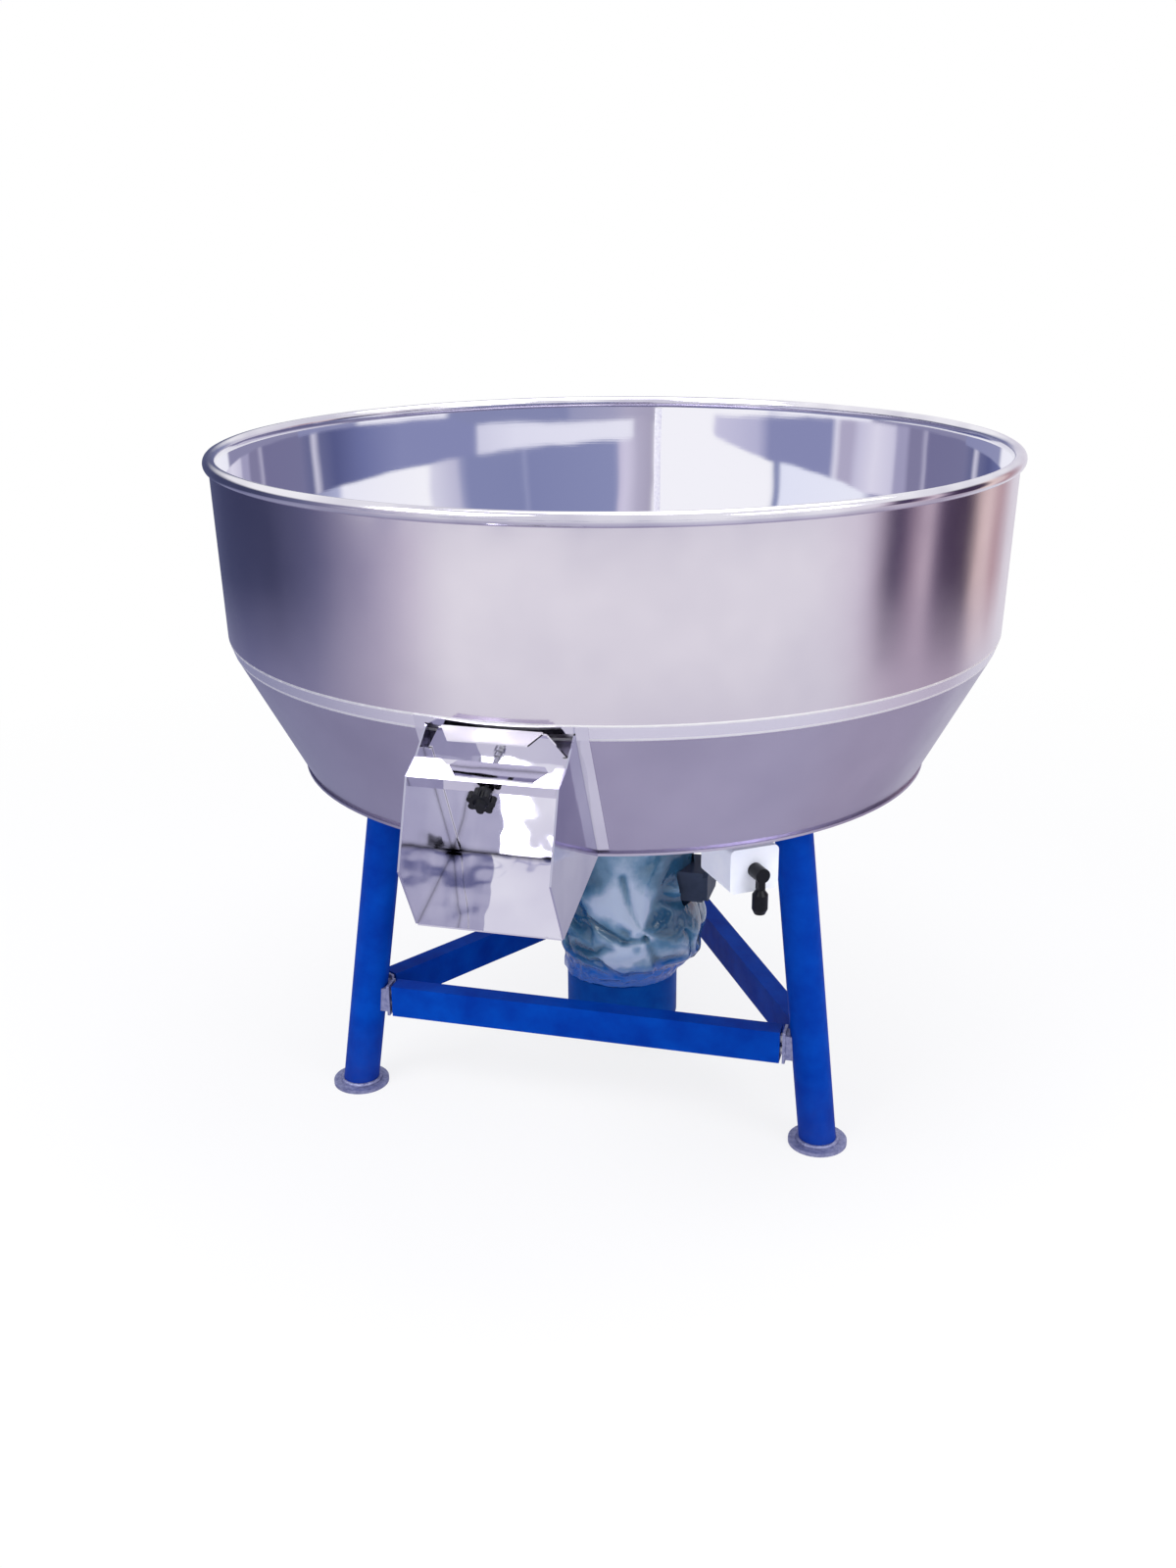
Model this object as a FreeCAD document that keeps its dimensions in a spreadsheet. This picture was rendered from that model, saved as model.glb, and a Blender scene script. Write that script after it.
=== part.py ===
import FreeCAD, Part
import math
import os
import Sketcher

# Powder mixer: an open stainless pan on three tube legs. A geared motor hangs under the
# pan and turns a stirrer in it. A chute with a clamped slide gate empties the pan at the
# front, and a lever switch hangs beside the right-hand leg.
# The origin is on the floor under the pan's axis, +Z is up and the chute points to -Y.

os.makedirs("parts", exist_ok=True)
doc = FreeCAD.newDocument("PowderMixer")
sheet = doc.addObject("Spreadsheet::Sheet", "Sizes")
V = FreeCAD.Vector
nodes = []
aliases = []


# Sizes and their formulas

class Size:
    """A number together with the formula that gives it from the sheet."""

    def __init__(self, value, formula):
        self.value = float(value)
        self.formula = formula

    def __add__(self, other):
        other = as_size(other)
        return Size(self.value + other.value, f"({self.formula} + {other.formula})")

    def __sub__(self, other):
        other = as_size(other)
        return Size(self.value - other.value, f"({self.formula} - {other.formula})")

    def __mul__(self, other):
        other = as_size(other)
        return Size(self.value * other.value, f"({self.formula} * {other.formula})")

    def __truediv__(self, other):
        other = as_size(other)
        return Size(self.value / other.value, f"({self.formula} / {other.formula})")

    def __neg__(self):
        return Size(-self.value, f"(0 - {self.formula})")

    __radd__ = __add__
    __rmul__ = __mul__

    def __rsub__(self, other):
        return as_size(other) - self


def as_size(amount):
    if isinstance(amount, Size):
        return amount
    return Size(amount, f"{float(amount):.6f}")


def number(amount):
    return as_size(amount).value


def sine(angle):
    angle = as_size(angle)
    return Size(math.sin(math.radians(angle.value)), f"sin({angle.formula})")


def cosine(angle):
    angle = as_size(angle)
    return Size(math.cos(math.radians(angle.value)), f"cos({angle.formula})")


def tangent(angle):
    angle = as_size(angle)
    return Size(math.tan(math.radians(angle.value)), f"tan({angle.formula})")


def root(amount):
    amount = as_size(amount)
    return Size(math.sqrt(amount.value), f"sqrt({amount.formula})")


def size(alias, value, note):
    """One driving dimension: a plain number in the sheet, with its name and what it is."""
    row = len(aliases) + 1
    sheet.set(f"A{row}", note)
    sheet.set(f"B{row}", str(value))
    sheet.setAlias(f"B{row}", alias)
    aliases.append(alias)
    return Size(value, f"Sizes.{alias}")


# Pan
sheet_thickness = size("sheet_thickness", 3, "stainless sheet of the pan")
wall_top_radius = size("wall_top_radius", 690, "pan wall, outer radius under the rim")
wall_bottom_radius = size("wall_bottom_radius", 680.1, "pan wall, outer radius at the cone")
wall_height = size("wall_height", 283.5, "height of the upright wall")
rim_tube_radius = size("rim_tube_radius", 11.3, "rolled rim, radius of its tube")
rim_sides = 12
knuckle_height = size("knuckle_height", 22, "height of the pressed knuckle above the cone")
knuckle_angle = size("knuckle_angle", 19, "knuckle, angle from upright")
cone_height = size("cone_height", 219.2, "height of the cone under the knuckle")
cone_angle = size("cone_angle", 27.6, "cone, angle from upright")
floor_height = size("floor_height", 639.3, "top of the pan floor above the ground")
floor_thickness = size("floor_thickness", 4, "pan floor")
floor_lip = size("floor_lip", 4, "how far the floor stands out past the cone")
shaft_port_radius = size("shaft_port_radius", 32, "hole in the pan floor for the shaft")

# Outlet, gate and chute, measured up the cone from its foot and out from its face
outlet_low = size("outlet_low", 20, "foot of the outlet hole")
outlet_length = size("outlet_length", 165, "outlet hole, up the cone")
outlet_half_width = size("outlet_half_width", 88, "outlet hole, half its width")
neck_depth = size("neck_depth", 17, "cone face to gate, at the middle")
neck_length = size("neck_length", 202, "frame of the outlet, up the cone")
neck_foot = size("neck_foot", 5, "foot of the frame of the outlet")
chute_half_width = size("chute_half_width", 113, "outside of the side plates")
chute_sheet = size("chute_sheet", 3, "sheet of the chute")
flange_width = size("flange_width", 18, "flange on the cone beside the chute")
flange_thickness = size("flange_thickness", 2.5, "flange on the cone")
flange_gap = size("flange_gap", 1, "side plates to the top of the flange's window")
flange_top = size("flange_top", 268, "top of the flange, up the cone")
lip_up = size("lip_up", 35.4, "chute lip, up the cone")
lip_out = size("lip_out", 189.2, "chute lip, out from the cone")
nose_up = size("nose_up", 158.5, "chute nose, up the cone")
nose_out = size("nose_out", 194, "chute nose, out from the cone")
bar_front_up = size("bar_front_up", 249.7, "front edge of the clamp bar, up the cone")
bar_front_out = size("bar_front_out", 94.1, "front edge of the clamp bar, out from the cone")
bar_back_up = size("bar_back_up", 244.9, "back edge of the clamp bar, up the cone")
bar_back_out = size("bar_back_out", 50.4, "back edge of the clamp bar, out from the cone")
bar_fold = size("bar_fold", 6, "fold along the back of the clamp bar")
bar_flange = size("bar_flange", 20, "edge folded down along the front of the clamp bar")
side_top_up = size("side_top_up", 255.3, "where the side plates meet the cone at the top")
gate_thickness = size("gate_thickness", 3, "gate plate")
gate_top = size("gate_top", 276.6, "top edge of the shut gate, up the cone")
gate_foot = size("gate_foot", 6, "foot of the shut gate, up the cone")
gate_side_gap = size("gate_side_gap", 1, "gate to side plate")
gate_face_gap = size("gate_face_gap", 0.4, "gate to frame and gate to rail")
gate_top_half = size("gate_top_half", 80, "gate, half its top edge")
gate_corner_drop = size("gate_corner_drop", 52, "gate, height of the cut corners")
handle_depth = size("handle_depth", 28, "folded handle of the gate")
handle_root_half = size("handle_root_half", 75, "handle, half its width at the fold")
handle_tip_half = size("handle_tip_half", 59.5, "handle, half its width at the tip")
rail_width = size("rail_width", 12, "gate rail")
rail_foot = size("rail_foot", 12, "foot of the gate rail")
rail_length = size("rail_length", 222, "gate rail, up the cone")

# Clamp screw
screw_side = size("screw_side", 5, "clamp screw, sideways from the middle")
screw_up = size("screw_up", 237, "clamp screw, up the cone")
screw_radius = size("screw_radius", 4, "clamp screw thread")
screw_fit = size("screw_fit", 0.06, "clamp screw in its nut, radial")
screw_hole_gap = size("screw_hole_gap", 0.5, "clamp screw in the hole of the bar, radial")
nut_half_flats = size("nut_half_flats", 6.5, "clamp nut, half across flats")
nut_depth = size("nut_depth", 7, "clamp nut")
pad_radius = size("pad_radius", 8, "pressure pad")
pad_thickness = size("pad_thickness", 5, "pressure pad, disc")
pad_gap = size("pad_gap", 0.3, "pressure pad to gate with the clamp just slack")
pad_boss_radius = size("pad_boss_radius", 5.5, "pressure pad, socket outside")
pad_boss_height = size("pad_boss_height", 8, "pressure pad, socket depth")
screw_tip_radius = size("screw_tip_radius", 3, "clamp screw tip in the pad")
screw_tip_fit = size("screw_tip_fit", 0.06, "screw tip in the pad, radial and end")
knob_out = size("knob_out", 99, "underside of the knob, out from the cone")
knob_radius = size("knob_radius", 15.5, "knob, radius of its lobe centres")
knob_lobe_radius = size("knob_lobe_radius", 5.6, "knob, radius of one lobe")
knob_height = size("knob_height", 13, "knob, height of the lobed head")
knob_neck = size("knob_neck", 11, "knob, height of the neck under the head")
knob_neck_radius = size("knob_neck_radius", 11, "knob, neck")
knob_crown = size("knob_crown", 4, "knob, height of the crown over the head")
knob_crown_radius = size("knob_crown_radius", 11, "knob, crown")

# Legs and braces
foot_circle = size("foot_circle", 503, "pan axis to leg axis at the ground")
leg_lean = size("leg_lean", 7.86, "legs, angle from upright")
leg_radius = size("leg_radius", 33, "leg tube")
leg_wall = size("leg_wall", 3, "leg tube wall")
foot_radius = size("foot_radius", 52, "foot disc")
foot_thickness = size("foot_thickness", 7, "foot disc")
head_width = size("head_width", 120, "plate between leg and pan")
head_thickness = size("head_thickness", 6, "plate between leg and pan")
brace_height = size("brace_height", 180, "middle of the braces above the ground")
brace_depth = size("brace_depth", 60, "brace, upright side of its section")
brace_width = size("brace_width", 35, "brace, level side of its section")
brace_wall = size("brace_wall", 3, "brace wall")
lug_stand = size("lug_stand", 9, "lug stub past the side of the leg")
lug_thickness = size("lug_thickness", 5, "bolted plates between brace and leg")
lug_gap = size("lug_gap", 5, "spacer between the bolted plates")
stub_width = size("stub_width", 31, "lug stub, level side")
stub_wall = size("stub_wall", 3.5, "lug stub wall")
stub_depth = size("stub_depth", 46, "lug stub, upright side")
bolt_spread = size("bolt_spread", 11, "brace bolts, above and below the middle")
bolt_half_flats = size("bolt_half_flats", 6.5, "brace bolt head and nut, half across flats")
bolt_head_height = size("bolt_head_height", 6, "brace bolt head and nut")
bolt_spacer_radius = size("bolt_spacer_radius", 9, "spacer between the bolted plates")

# Gearbox
shaft_step = size("shaft_step", 0.04, "running fit of every shaft, radial")
drive_plate_radius = size("drive_plate_radius", 170, "drive plate under the pan")
drive_plate_thickness = size("drive_plate_thickness", 8, "drive plate under the pan")
fine_module = size("fine_module", 1.5, "module of the first stage")
coarse_module = size("coarse_module", 2, "module of the second stage")
case_wall = size("case_wall", 8, "gearbox wall")
case_gap = size("case_gap", 6, "gear tip to gearbox wall")
case_height = size("case_height", 170, "gearbox housing")
case_roof = size("case_roof", 8, "gearbox housing, roof over the bearings")
cover_thickness = size("cover_thickness", 22, "gearbox bottom cover")
output_radius = size("output_radius", 22.5, "output shaft")
output_bearing_radius = size("output_bearing_radius", 42.5, "output bearings, outside")
output_bearing_width = size("output_bearing_width", 19, "output bearings")
output_bearing_span = size("output_bearing_span", 25, "between the two output bearings")
lay_radius = size("lay_radius", 12.5, "layshaft")
lay_bearing_radius = size("lay_bearing_radius", 26, "layshaft bearings, outside")
lay_bearing_width = size("lay_bearing_width", 15, "layshaft bearings")
boss_wall = size("boss_wall", 9, "bearing bosses")
gear_gap = size("gear_gap", 6, "between gears and bearings, endwise")
coarse_width = size("coarse_width", 30, "output gear face")
fine_width = size("fine_width", 18, "lay gear face")

# Motor
motor_radius = size("motor_radius", 106, "motor over its fins and fan cowl")
fin_height = size("fin_height", 9, "cooling fins")
fin_width = size("fin_width", 3, "cooling fins")
fin_clearance = size("fin_clearance", 0.1, "terminal box over the fins")
motor_bore = size("motor_bore", 80, "stator core in its frame")
motor_flange_thickness = size("motor_flange_thickness", 25, "drive-end shield of the motor")
motor_frame_length = size("motor_frame_length", 220, "finned motor frame")
core_length = size("core_length", 140, "stator and rotor cores")
core_inset = size("core_inset", 40, "cores below the drive-end shield")
rotor_radius = size("rotor_radius", 49.5, "rotor core")
air_gap = size("air_gap", 0.5, "rotor to stator")
motor_shaft_radius = size("motor_shaft_radius", 19, "motor shaft in the rotor")
motor_seat_radius = size("motor_seat_radius", 15, "motor shaft in its bearings")
motor_bearing_radius = size("motor_bearing_radius", 31, "motor bearings, outside")
motor_bearing_width = size("motor_bearing_width", 16, "motor bearings")
end_shield_thickness = size("end_shield_thickness", 20, "lower end shield of the motor")
pinion_shaft_radius = size("pinion_shaft_radius", 6.4, "motor shaft behind its pinion")
cowl_length = size("cowl_length", 98, "fan cowl")
cowl_wall = size("cowl_wall", 2, "fan cowl")
cowl_overlap = size("cowl_overlap", 12, "fan cowl over the lower end shield")
cowl_slot_width = size("cowl_slot_width", 7, "slots in the fan cowl")
cowl_slot_length = size("cowl_slot_length", 46, "slots in the fan cowl")
cowl_slot_start = size("cowl_slot_start", 32, "slots in the fan cowl, from the axis")
fan_radius = size("fan_radius", 90, "cooling fan")
fan_blade_height = size("fan_blade_height", 28, "cooling fan blades")
fan_disc = size("fan_disc", 4, "cooling fan disc")
fan_hub_radius = size("fan_hub_radius", 28, "cooling fan hub")
fan_lift = size("fan_lift", 24, "cooling fan above the floor of the cowl")
terminal_reach = size("terminal_reach", 68, "terminal box out from the motor frame")
terminal_width = size("terminal_width", 92, "terminal box")
terminal_height = size("terminal_height", 58, "terminal box")
terminal_drop = size("terminal_drop", 4, "terminal box below the drive-end shield")
terminal_wall = size("terminal_wall", 4, "terminal box")
terminal_lid_thickness = size("terminal_lid_thickness", 9, "lid of the terminal box")

# Stirrer
seal_flange_radius = size("seal_flange_radius", 62, "shaft seal housing, flange")
seal_body_radius = size("seal_body_radius", 44, "shaft seal housing, body")
seal_flange_thickness = size("seal_flange_thickness", 6, "shaft seal housing, flange")
seal_height = size("seal_height", 20, "shaft seal housing")
seal_ring_radius = size("seal_ring_radius", 34, "shaft seal, outside")
seal_ring_depth = size("seal_ring_depth", 10, "shaft seal")
hub_gap = size("hub_gap", 3, "seal housing to hub")
hub_radius = size("hub_radius", 58, "stirrer hub")
hub_height = size("hub_height", 78, "stirrer hub")
cap_radius = size("cap_radius", 34, "cap nut over the hub")
cap_height = size("cap_height", 22, "cap nut over the hub")
arm_count = 4
arm_start = size("arm_start", 45, "where the first stirrer arm points at rest")
arm_width = size("arm_width", 40, "stirrer arm, level side")
arm_depth = size("arm_depth", 16, "stirrer arm, upright side")
arm_lift = size("arm_lift", 36, "stirrer arm above the pan floor")
blade_gap = size("blade_gap", 8, "blades to the pan")
plough_width = size("plough_width", 56, "plough blade across its slope")
plough_length = size("plough_length", 118, "plough blade along the arm")
plough_sheet = size("plough_sheet", 5, "plough blade")
plough_slope = size("plough_slope", 38, "plough blade, angle from level")
plough_first = size("plough_first", 110, "inner plough, from the axis")
plough_step = size("plough_step", 120, "from one plough place to the next")
scraper_length = size("scraper_length", 130, "wall scraper, up the cone")
scraper_width = size("scraper_width", 62, "wall scraper across")
scraper_sheet = size("scraper_sheet", 8, "wall scraper")

# Switch
switch_x = size("switch_x", 327, "switch face, right of the pan axis")
switch_y = size("switch_y", 371, "switch face, in front of the pan axis")
switch_turn = size("switch_turn", -54, "which way the switch faces")
switch_top = size("switch_top", 35.3, "top of the switch below the pan floor's underside")
switch_width = size("switch_width", 86, "switch box")
switch_depth = size("switch_depth", 104, "switch box, behind its cover")
switch_height = size("switch_height", 76, "switch box")
switch_corner = size("switch_corner", 9, "switch box, rounded edges")
switch_wall = size("switch_wall", 4, "switch box")
switch_cover_thickness = size("switch_cover_thickness", 7, "front cover of the switch")
switch_shaft_radius = size("switch_shaft_radius", 6, "switch shaft")
drum_radius = size("drum_radius", 19, "contact drum")
drum_length = size("drum_length", 70, "contact drum")
lever_gap = size("lever_gap", 1, "switch cover to lever")
lever_hub_radius = size("lever_hub_radius", 12.5, "hub of the lever")
lever_hub_length = size("lever_hub_length", 30, "hub of the lever")
lever_arm_width = size("lever_arm_width", 12, "arm of the lever")
lever_arm_length = size("lever_arm_length", 26, "arm of the lever, from its axis")
grip_radius = size("grip_radius", 13, "grip of the lever")
grip_length = size("grip_length", 42, "grip of the lever")
bracket_thickness = size("bracket_thickness", 4, "bracket of the switch")
bracket_width = size("bracket_width", 60, "bracket of the switch")
bracket_flange = size("bracket_flange", 46, "bracket of the switch, each flange")

# Bag tied over the drive
bag_film = size("bag_film", 2, "thickness of the bag's solid")
bag_drop = size("bag_drop", 221.8, "mouth of the bag below the drive-end shield")
bag_slot_gap = size("bag_slot_gap", 5, "slit of the bag round the terminal box")
bag_folds = 24

# Places that follow from the sizes
knuckle_z = floor_height + cone_height
junction_z = knuckle_z + knuckle_height
wall_top_z = junction_z + wall_height
rim_corner_radius = rim_tube_radius / cosine(180 / rim_sides)
knuckle_radius = wall_bottom_radius - knuckle_height * tangent(knuckle_angle)
cone_foot_radius = knuckle_radius - cone_height * tangent(cone_angle)
floor_radius = cone_foot_radius + floor_lip
floor_under_z = floor_height - floor_thickness
case_top_z = floor_under_z - drive_plate_thickness
case_foot_z = case_top_z - case_height
cover_foot_z = case_foot_z - cover_thickness
flange_foot_z = cover_foot_z - motor_flange_thickness
frame_foot_z = flange_foot_z - motor_frame_length
shield_foot_z = frame_foot_z - end_shield_thickness
cowl_top_z = shield_foot_z + cowl_overlap
cowl_foot_z = cowl_top_z - cowl_length
bag_low = flange_foot_z - bag_drop

# Gear numbers: teeth are counts, the centre distances follow from them and the modules
pinion_teeth = 12
lay_teeth = 68
output_teeth = 64
motor_to_lay = fine_module * (pinion_teeth + lay_teeth) / 2
output_to_lay = coarse_module * (pinion_teeth + output_teeth) / 2
lay_x = output_to_lay
motor_x = lay_x - motor_to_lay


# Building helpers

def bind(item, **sizes):
    """Tie each named property to its formula."""
    for name, amount in sizes.items():
        item.setExpression(name, as_size(amount).formula)
    return item


def seat(item, x=0, y=0, z=0, turn=0, tilt=0, roll=0):
    """Place an object, turned about X by roll, then about Y by tilt, then about Z by turn."""
    x, y, z, turn, tilt, roll = [as_size(part).formula for part in (x, y, z, turn, tilt, roll)]
    place = f"create(<<vector>>; {x}; {y}; {z})"
    spin = f"rotationz({turn}) * rotationy({tilt}) * rotationx({roll})"
    item.setExpression("Placement", f"create(<<placement>>; {place}; {spin})")
    return item


def around(item, x, y, z, turn, tilt=0, roll=0):
    """Place an object at a point given in a frame that is turned about the pan axis."""
    level_x = cosine(turn) * x - sine(turn) * y
    level_y = sine(turn) * x + cosine(turn) * y
    return seat(item, level_x, level_y, z, turn, tilt, roll)


def on_cone(item, x, up, out):
    """Place an object on the front of the cone: local Y runs up the cone, Z out from it."""
    y = -cone_foot_radius - up * sine(cone_angle) - out * cosine(cone_angle)
    z = floor_height + up * cosine(cone_angle) - out * sine(cone_angle)
    return seat(item, x, y, z, roll=90 + cone_angle)


def at_switch(item, out, side, down):
    """Place an object in the switch's frame: local X points out of its face."""
    x = switch_x + cosine(switch_turn) * out - sine(switch_turn) * side
    y = -switch_y + sine(switch_turn) * out + cosine(switch_turn) * side
    return seat(item, x, y, floor_under_z - switch_top - down, turn=switch_turn)


def add(kind, name):
    return doc.addObject(kind, name)


def box(name, length, width, height):
    return bind(add("Part::Box", name), Length=length, Width=width, Height=height)


def cylinder(name, radius, height):
    return bind(add("Part::Cylinder", name), Radius=radius, Height=height)


def cut(name, base, *tools):
    for index, tool in enumerate(tools):
        last = index == len(tools) - 1
        item = add("Part::Cut", name if last else f"{name}_cut_{index}")
        item.Base = base
        item.Tool = tool
        base = item
    return base


def fuse(name, *shapes):
    item = add("Part::MultiFuse", name)
    item.Shapes = list(shapes)
    return item


def common(name, *shapes):
    item = add("Part::MultiCommon", name)
    item.Shapes = list(shapes)
    return item


def group(name, shapes):
    item = add("Part::Compound", name)
    item.Links = list(shapes)
    return item


def tube(name, outer, inner, height):
    """A plain ring about local Z, standing on z = 0."""
    return turned(name, [(inner, 0), (outer, 0), (outer, height), (inner, height)])


def origin_plane(body, role):
    return next(item for item in body.Origin.OriginFeatures if item.Role == role)


def sketch_on(body, role, name):
    sketch = body.newObject("Sketcher::SketchObject", name)
    sketch.AttachmentSupport = [(origin_plane(body, role), "")]
    sketch.MapMode = "FlatFace"
    return sketch


def tie(sketch, direction, corner, amount):
    """Hold one corner's distance from the sketch origin, along one axis."""
    if isinstance(amount, Size):
        index = sketch.addConstraint(
            Sketcher.Constraint(direction, -1, 1, corner, 1, amount.value))
        sketch.setExpression(f"Constraints[{index}]", amount.formula)
    elif amount == 0:
        axis = -2 if direction == "DistanceX" else -1
        sketch.addConstraint(Sketcher.Constraint("PointOnObject", corner, 1, axis))
    else:
        sketch.addConstraint(Sketcher.Constraint(direction, -1, 1, corner, 1, float(amount)))


def outline(body, role, name, corners):
    """A closed straight-sided profile whose corners are tied to the sheet."""
    sketch = sketch_on(body, role, name)
    points = [V(number(across), number(along), 0) for across, along in corners]
    count = len(points)
    for index in range(count):
        edge = Part.LineSegment(points[index], points[(index + 1) % count])
        sketch.addGeometry(edge, False)
    for index in range(count):
        sketch.addConstraint(
            Sketcher.Constraint("Coincident", index, 2, (index + 1) % count, 1))
    for index, (across, along) in enumerate(corners):
        tie(sketch, "DistanceX", index, across)
        tie(sketch, "DistanceY", index, along)
    return sketch


def turned(name, corners):
    """A body turned about its own Z axis from corners given as radius and height."""
    body = add("PartDesign::Body", name)
    sketch = outline(body, "XZ_Plane", f"{name}_profile", corners)
    turning = body.newObject("PartDesign::Revolution", f"{name}_turning")
    turning.Profile = sketch
    turning.ReferenceAxis = (sketch, ["V_Axis"])
    turning.Angle = 360
    return body


def folded(name, corners, half_width):
    """A sheet-metal body with a section in local Y and Z, as wide each way as half_width."""
    body = add("PartDesign::Body", name)
    sketch = outline(body, "YZ_Plane", f"{name}_section", corners)
    pad = body.newObject("PartDesign::Pad", f"{name}_pad")
    pad.Profile = sketch
    pad.SideType = "Symmetric"
    bind(pad, Length=half_width * 2)
    return body


def strip(start, end, thickness):
    """Corners of a flat strip from start to end, with its thickness to the left of the run."""
    across = end[0] - start[0]
    along = end[1] - start[1]
    run = root(across * across + along * along)
    side_across = -along / run * thickness
    side_along = across / run * thickness
    return [start, end, (end[0] + side_across, end[1] + side_along),
            (start[0] + side_across, start[1] + side_along)]


def rounded_block(name, length, width, height, corner):
    """A block along local X, centred on Y, hanging down from z = 0, with round long edges."""
    flat = box(f"{name}_flat", length, width, height - corner * 2)
    seat(flat, 0, width / -2, corner - height)
    tall = box(f"{name}_tall", length, width - corner * 2, height)
    seat(tall, 0, width / -2 + corner, -height)
    edges = []
    for side in (-1, 1):
        for end in (0, 1):
            edge = cylinder(f"{name}_edge_{side + 1}_{end}", corner, length)
            level = -corner if end else corner - height
            seat(edge, 0, (width / 2 - corner) * side, level, tilt=90)
            edges.append(edge)
    return fuse(name, flat, tall, *edges)


def obround(name, radius, span, height):
    """Two half-round ends about x = 0 and x = span, standing on z = 0."""
    near = cylinder(f"{name}_near", radius, height)
    far = seat(cylinder(f"{name}_far", radius, height), span, 0, 0)
    middle = seat(box(f"{name}_middle", span, radius * 2, height), 0, -radius, 0)
    return fuse(name, near, far, middle)


def hexagon(name, half_flats, height):
    prism = add("Part::Prism", name)
    prism.Polygon = 6
    return bind(prism, Circumradius=half_flats / cosine(30), Height=height)


def tooth_points(teeth, module, phase):
    """Outline of a stub-toothed involute gear, three points on each flank."""
    pitch = teeth * module / 2
    base = pitch * math.cos(math.radians(20))
    tip = pitch + 0.85 * module
    foot = pitch - 1.05 * module
    backlash = 0.1 * module / pitch
    half = math.pi / (2 * teeth) - backlash
    roll_at_pitch = math.tan(math.radians(20)) - math.radians(20)
    points = []
    for tooth in range(teeth):
        middle = math.radians(phase) + 2 * math.pi * tooth / teeth
        flank = []
        for radius in (max(base, foot), (max(base, foot) + tip) / 2, tip):
            slope = math.acos(min(1.0, base / radius))
            flank.append((radius, half + roll_at_pitch - math.tan(slope) + slope))
        if foot < base:
            flank.insert(0, (foot, flank[0][1]))
        for radius, angle in flank:
            points.append((radius, middle - angle))
        for radius, angle in reversed(flank):
            points.append((radius, middle + angle))
    return [V(radius * math.cos(angle), radius * math.sin(angle), 0)
            for radius, angle in points]


def toothed_wheel(teeth, module, width, bore, phase):
    """Shape of a spur gear standing on z = 0, with a plain bore."""
    points = tooth_points(teeth, number(module), phase)
    face = Part.Face(Part.makePolygon(points + points[:1]))
    wheel = face.extrude(V(0, 0, number(width)))
    if bore is not None:
        wheel = wheel.cut(Part.makeCylinder(number(bore), number(width)))
    return wheel


def shaped(name, shape, x=0, y=0, z=0):
    """A node whose shape comes from the numbers themselves."""
    item = add("Part::Feature", name)
    item.Shape = shape
    item.Placement = FreeCAD.Placement(V(number(x), number(y), number(z)), FreeCAD.Rotation())
    return item


def node(name, item):
    item.Label = name
    nodes.append(item)
    return item


# Pan

def pan_form(name, swell):
    """Solid outside of the cone and the floor's lip, made larger by swell."""
    return turned(name, [
        (0, floor_under_z),
        (floor_radius, floor_under_z),
        (floor_radius, floor_height),
        (cone_foot_radius + swell, floor_height),
        (knuckle_radius + swell, knuckle_z),
        (wall_bottom_radius + swell, junction_z),
        (0, junction_z)])


def build_pan():
    inner = sheet_thickness / cosine(cone_angle)
    node("bowl_wall", turned("bowl_wall", [
        (wall_bottom_radius - sheet_thickness, junction_z),
        (wall_bottom_radius, junction_z),
        (wall_top_radius, wall_top_z),
        (wall_top_radius - sheet_thickness, wall_top_z)]))
    bead = []
    for side in range(rim_sides):
        way = 360 * (side + 0.5) / rim_sides
        bead.append((wall_top_radius - sheet_thickness / 2 + rim_corner_radius * cosine(way),
                     rim_tube_radius + rim_corner_radius * sine(way)))
    node("rim_tube", seat(turned("rim_tube", bead), z=wall_top_z))
    cone = turned("cone_blank", [
        (cone_foot_radius - inner, floor_height),
        (cone_foot_radius, floor_height),
        (knuckle_radius, knuckle_z),
        (wall_bottom_radius, junction_z),
        (wall_bottom_radius - sheet_thickness, junction_z),
        (knuckle_radius - inner, knuckle_z)])
    port_depth = neck_depth * 4
    port = box("outlet_port", outlet_half_width * 2, outlet_length, port_depth)
    on_cone(port, -outlet_half_width, outlet_low, port_depth / -2)
    node("bowl_cone", cut("bowl_cone", cone, port))
    node("bowl_floor", turned("bowl_floor", [
        (shaft_port_radius, floor_under_z),
        (floor_radius, floor_under_z),
        (floor_radius, floor_height),
        (shaft_port_radius, floor_height)]))


# Outlet, chute and gate

def build_outlet(form):
    inside = chute_half_width - chute_sheet
    reach = neck_depth * 2
    rim = box("neck_outside", inside * 2, neck_length, reach)
    on_cone(rim, -inside, neck_foot, neck_depth - gate_face_gap - reach)
    bore = box("neck_bore", outlet_half_width * 2, outlet_length, reach * 3)
    on_cone(bore, -outlet_half_width, outlet_low, reach * -1.5)
    neck = cut("outlet_neck", rim, bore, form)
    skin = pan_form("flange_form", flange_thickness / cosine(cone_angle))
    outside = chute_half_width + flange_width
    plate = box("flange_outside", outside * 2, flange_top - neck_foot, reach * 2)
    on_cone(plate, -outside, neck_foot, -reach)
    window = box("flange_window", chute_half_width * 2, side_top_up + flange_gap, reach * 6)
    on_cone(window, -chute_half_width, 0, reach * -3)
    flange = cut("outlet_flange", common("flange_band", plate, skin), window, form)
    node("outlet_frame", group("outlet_frame", [neck, flange]))


def side_plate(name, place, form):
    body = folded(f"{name}_blank", [
        (-neck_foot * 2, neck_foot * -2),
        (lip_up, lip_out),
        (nose_up, nose_out),
        (bar_front_up, bar_front_out),
        (bar_back_up, bar_back_out),
        (side_top_up, neck_depth * -1),
        (side_top_up - flange_top / 2, neck_depth * -2)], chute_sheet / 2)
    on_cone(body, place, 0, 0)
    node(name, cut(name, body, form))


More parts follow.
